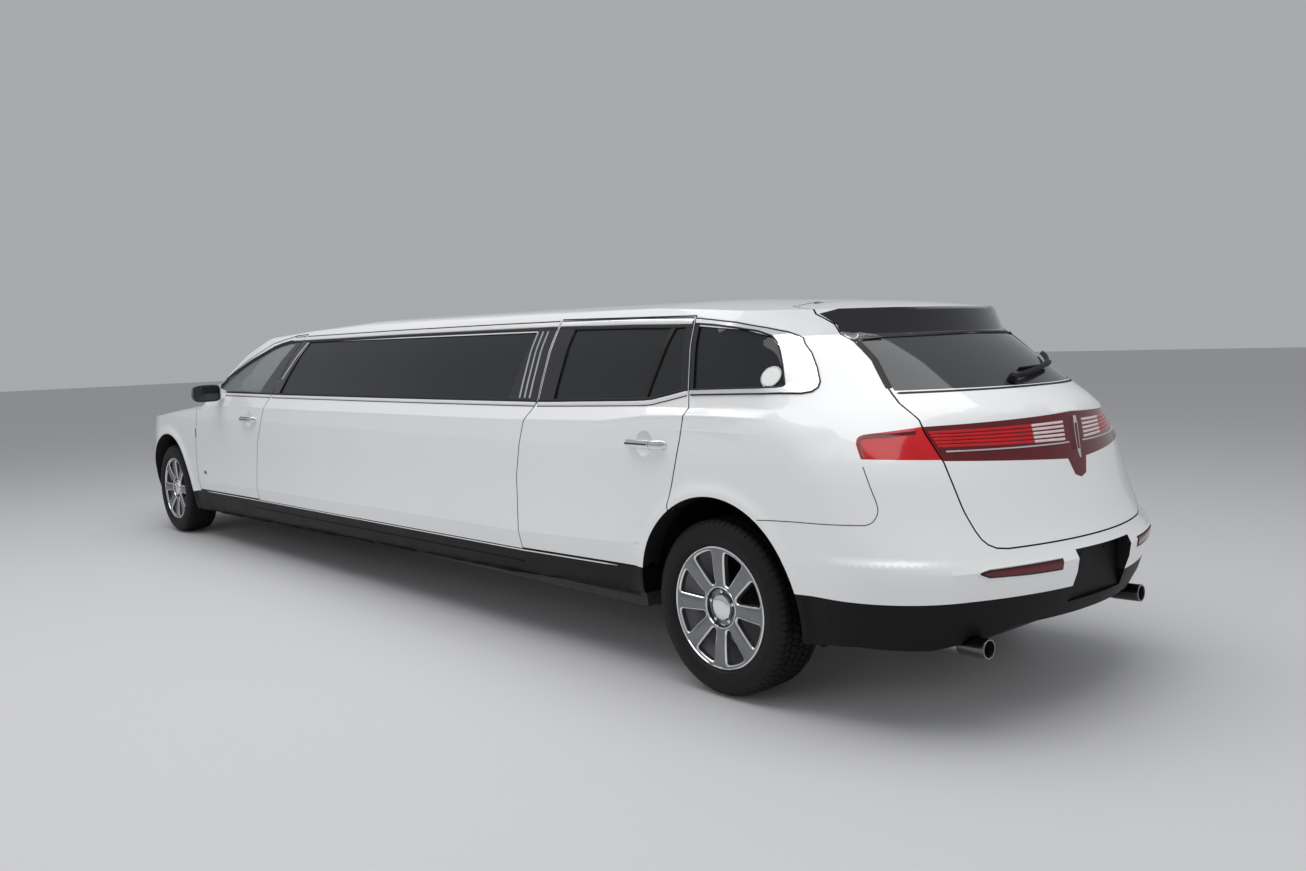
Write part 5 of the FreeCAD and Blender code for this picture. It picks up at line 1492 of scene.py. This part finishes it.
def cabinet(name, low, high, finish, slot, node, panels, frame_finish):
    """Low cabinet: carcass, proud panels with gaps on its inner face, overhanging top."""
    low, high = Vector(low), Vector(high)
    carcass = add_mesh(name, *loft(box_rings(
        low.x + 0.005, high.x - 0.005, low.y + 0.004, high.y - 0.022,
        (low.z + 0.002, low.z + 0.05, high.z - 0.03))), finish, "body", slot, (node,), 30)
    bevelled(carcass, 0.006)
    doors = []
    step = (high.x - low.x - 0.03) / panels
    for k in range(panels):
        x0 = low.x + 0.015 + step * k + 0.004
        x1 = x0 + step - 0.008
        ring = []
        for y, inset in ((high.y - 0.022, 0.0), (high.y - 0.010, 0.0), (high.y - 0.007, 0.004),
                         (high.y - 0.007, 0.030), (high.y - 0.012, 0.036)):
            ring.append([Vector((x0 + inset, y, low.z + 0.06 + inset)),
                         Vector((x1 - inset, y, low.z + 0.06 + inset)),
                         Vector((x1 - inset, y, high.z - 0.05 - inset)),
                         Vector((x0 + inset, y, high.z - 0.05 - inset))])
        doors.append(loft(ring))
    add_mesh(name + "_doors", *join(doors), finish, "body", slot, (), 30)
    top = add_mesh(name + "_top", *loft(box_rings(
        low.x, high.x, low.y, high.y, (high.z - 0.028, high.z - 0.004))), frame_finish, "body",
        slot, (), 30)
    bevelled(top, 0.006, 3)
    wells = []
    for k in range(3):
        x = low.x + (high.x - low.x) * (0.25 + 0.25 * k)
        wells.append(loft([oval(Vector((x, (low.y + high.y) / 2, high.z - 0.004 + h)), X_AXIS,
                                Y_AXIS, r, r, 2, 40)
                           for h, r in ((-0.010, 0.098), (0.003, 0.100), (0.004, 0.096),
                                        (0.0005, 0.088), (0.0005, 0.002))]))
    add_mesh(name + "_wells", *join(wells), SATIN, "body", "bright_alloy", (), 30)


cabinet("bar_cabinet_body", *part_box("bar_cabinet"), WOOD, "cabinet_panel", "bar_cabinet", 5, GLOSS)

low, high = (Vector(v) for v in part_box("partition"))
frame_rings = []
outer_line = rounded_outline([(low.y + 0.002, low.z + 0.002, 0.02),
                              (high.y - 0.002, low.z + 0.002, 0.02),
                              (high.y - 0.002, high.z - 0.002, 0.06),
                              (low.y + 0.002, high.z - 0.002, 0.06)])
for x, inset in ((low.x + 0.008, 0.0), (low.x + 0.002, 0.004), (low.x + 0.002, 0.050),
                 (low.x + 0.010, 0.060), (high.x - 0.010, 0.060), (high.x - 0.002, 0.050),
                 (high.x - 0.002, 0.004), (high.x - 0.008, 0.0), (low.x + 0.008, 0.0)):
    ring = []
    for y, z in outer_line:
        scale_y = 1 - inset / high.y
        middle_z = (low.z + high.z) / 2
        scale_z = 1 - inset / (high.z - middle_z)
        ring.append(Vector((x, y * scale_y, middle_z + (z - middle_z) * scale_z)))
    frame_rings.append(ring)
add_mesh("partition_frame", *loft(frame_rings, False), TRIM, "body", "cabinet_panel",
         ("partition",), 30)
add_mesh("partition_panel", *loft([
    [Vector((x, y * 0.955, low.z + 0.055 + (z - low.z) * 0.88)) for y, z in outer_line]
    for x in (low.x + 0.016, high.x - 0.016)]), WOOD, "body", "cabinet_panel", (), 30)

low, high = (Vector(v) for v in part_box("dashboard"))
section = [(low.x + 0.10, low.z + 0.004), (low.x + 0.03, low.z + 0.03),
           (low.x + 0.004, low.z + 0.09), (low.x + 0.012, high.z - 0.055),
           (low.x + 0.045, high.z - 0.022), (low.x + 0.12, high.z - 0.004),
           (low.x + 0.26, high.z - 0.006), (high.x - 0.01, high.z - 0.03),
           (high.x - 0.004, low.z + 0.02)]
rings = []
for y in np.linspace(low.y + 0.004, high.y - 0.004, 41):
    hood = math.exp(-((y - 0.38) / 0.17) ** 4)
    ring = []
    for k, (x, z) in enumerate(section):
        front = 1 if k in (2, 3, 4, 5) else 0
        x_at = x + front * (0.03 * (1 - hood) + 0.035 * (y / high.y) ** 2)
        drop = 0.026 * (1 - hood) if k in (4, 5, 6) else 0.020 * (1 - hood) if k == 3 else 0
        ring.append(Vector((x_at, y, z - drop)))
    rings.append(ring)
dash = add_mesh("dashboard_body", *loft(rings), TRIM, "body", "black_plastic", ("dashboard",), 50)
bevelled(dash, 0.008, 3)
vents = []
for y in (-0.62, -0.10, 0.10, 0.64):
    x = low.x + 0.045 if y != 0.64 else low.x + 0.036
    vents.append(loft([oval(Vector((x + dx, y, high.z - 0.080)), Y_AXIS, Z_AXIS, w, t, 4, 24)
                       for dx, w, t in ((0.02, 0.050, 0.026), (-0.006, 0.050, 0.026),
                                        (-0.008, 0.047, 0.023),
                                        (-0.004, 0.043, 0.019), (0.012, 0.043, 0.019))]))
add_mesh("dashboard_vents", *join(vents), GLOSS, "body", "black_plastic", (), 30)

# ---------------------------------------------------------------- CAD nodes that stay
STAYING = {
    "floor_pan": CARPET, "hinges": STEEL, "wheel_housings": BLACK, "front_struts": STEEL,
    "engine": IRON, "front_subframe": STEEL, "rear_axle": STEEL, "exhaust_system": PIPE,
    "fuel_tank": TANK, "left_knuckle": IRON, "right_knuckle": IRON, "steering_wheel": LEATHER,
}
for node, finish in STAYING.items():
    for holder in nodes[node].material_slots:
        holder.material = finish


# ---------------------------------------------------------------- studio
def studio():
    floor_material = bpy.data.materials.new("floor_pale")
    floor_material.use_nodes = True
    shader = floor_material.node_tree.nodes["Principled BSDF"]
    shader.inputs["Base Color"].default_value = (0.58, 0.58, 0.585, 1)
    shader.inputs["Roughness"].default_value = 0.55
    mesh = bpy.data.meshes.new("floor")
    size = 60
    mesh.from_pydata([(-size, -size, -0.002), (size, -size, -0.002), (size, size, -0.002),
                      (-size, size, -0.002)], [], [(0, 1, 2, 3)])
    mesh.materials.append(floor_material)
    linked("floor", mesh)
    world = bpy.data.worlds.new("studio")
    bpy.context.scene.world = world
    world.use_nodes = True
    world.node_tree.nodes["Background"].inputs["Color"].default_value = (0.93, 0.95, 1.0, 1)
    world.node_tree.nodes["Background"].inputs["Strength"].default_value = 0.42
    for name, place, aim, size, energy in (
            ("top_softbox", (-1.0, 1.5, 7.5), (-0.5, 0, 0.5), (12, 7), 540),
            ("side_softbox", (-3.0, 10.0, 4.0), (0, 0, 0.8), (9, 4), 125),
            ("rear_softbox", (-12.0, -1.0, 4.0), (-4, 0, 0.8), (6, 4), 125)):
        data = bpy.data.lights.new(name, "AREA")
        data.shape = "RECTANGLE"
        data.size, data.size_y = size
        data.energy = energy
        lamp = linked(name, data)
        lamp.location = place
        lamp.rotation_euler = (Vector(aim) - Vector(place)).to_track_quat("-Z", "Y").to_euler()
        lamp.visible_glossy = name == "top_softbox"


studio()
bpy.context.scene.view_settings.view_transform = "Standard"
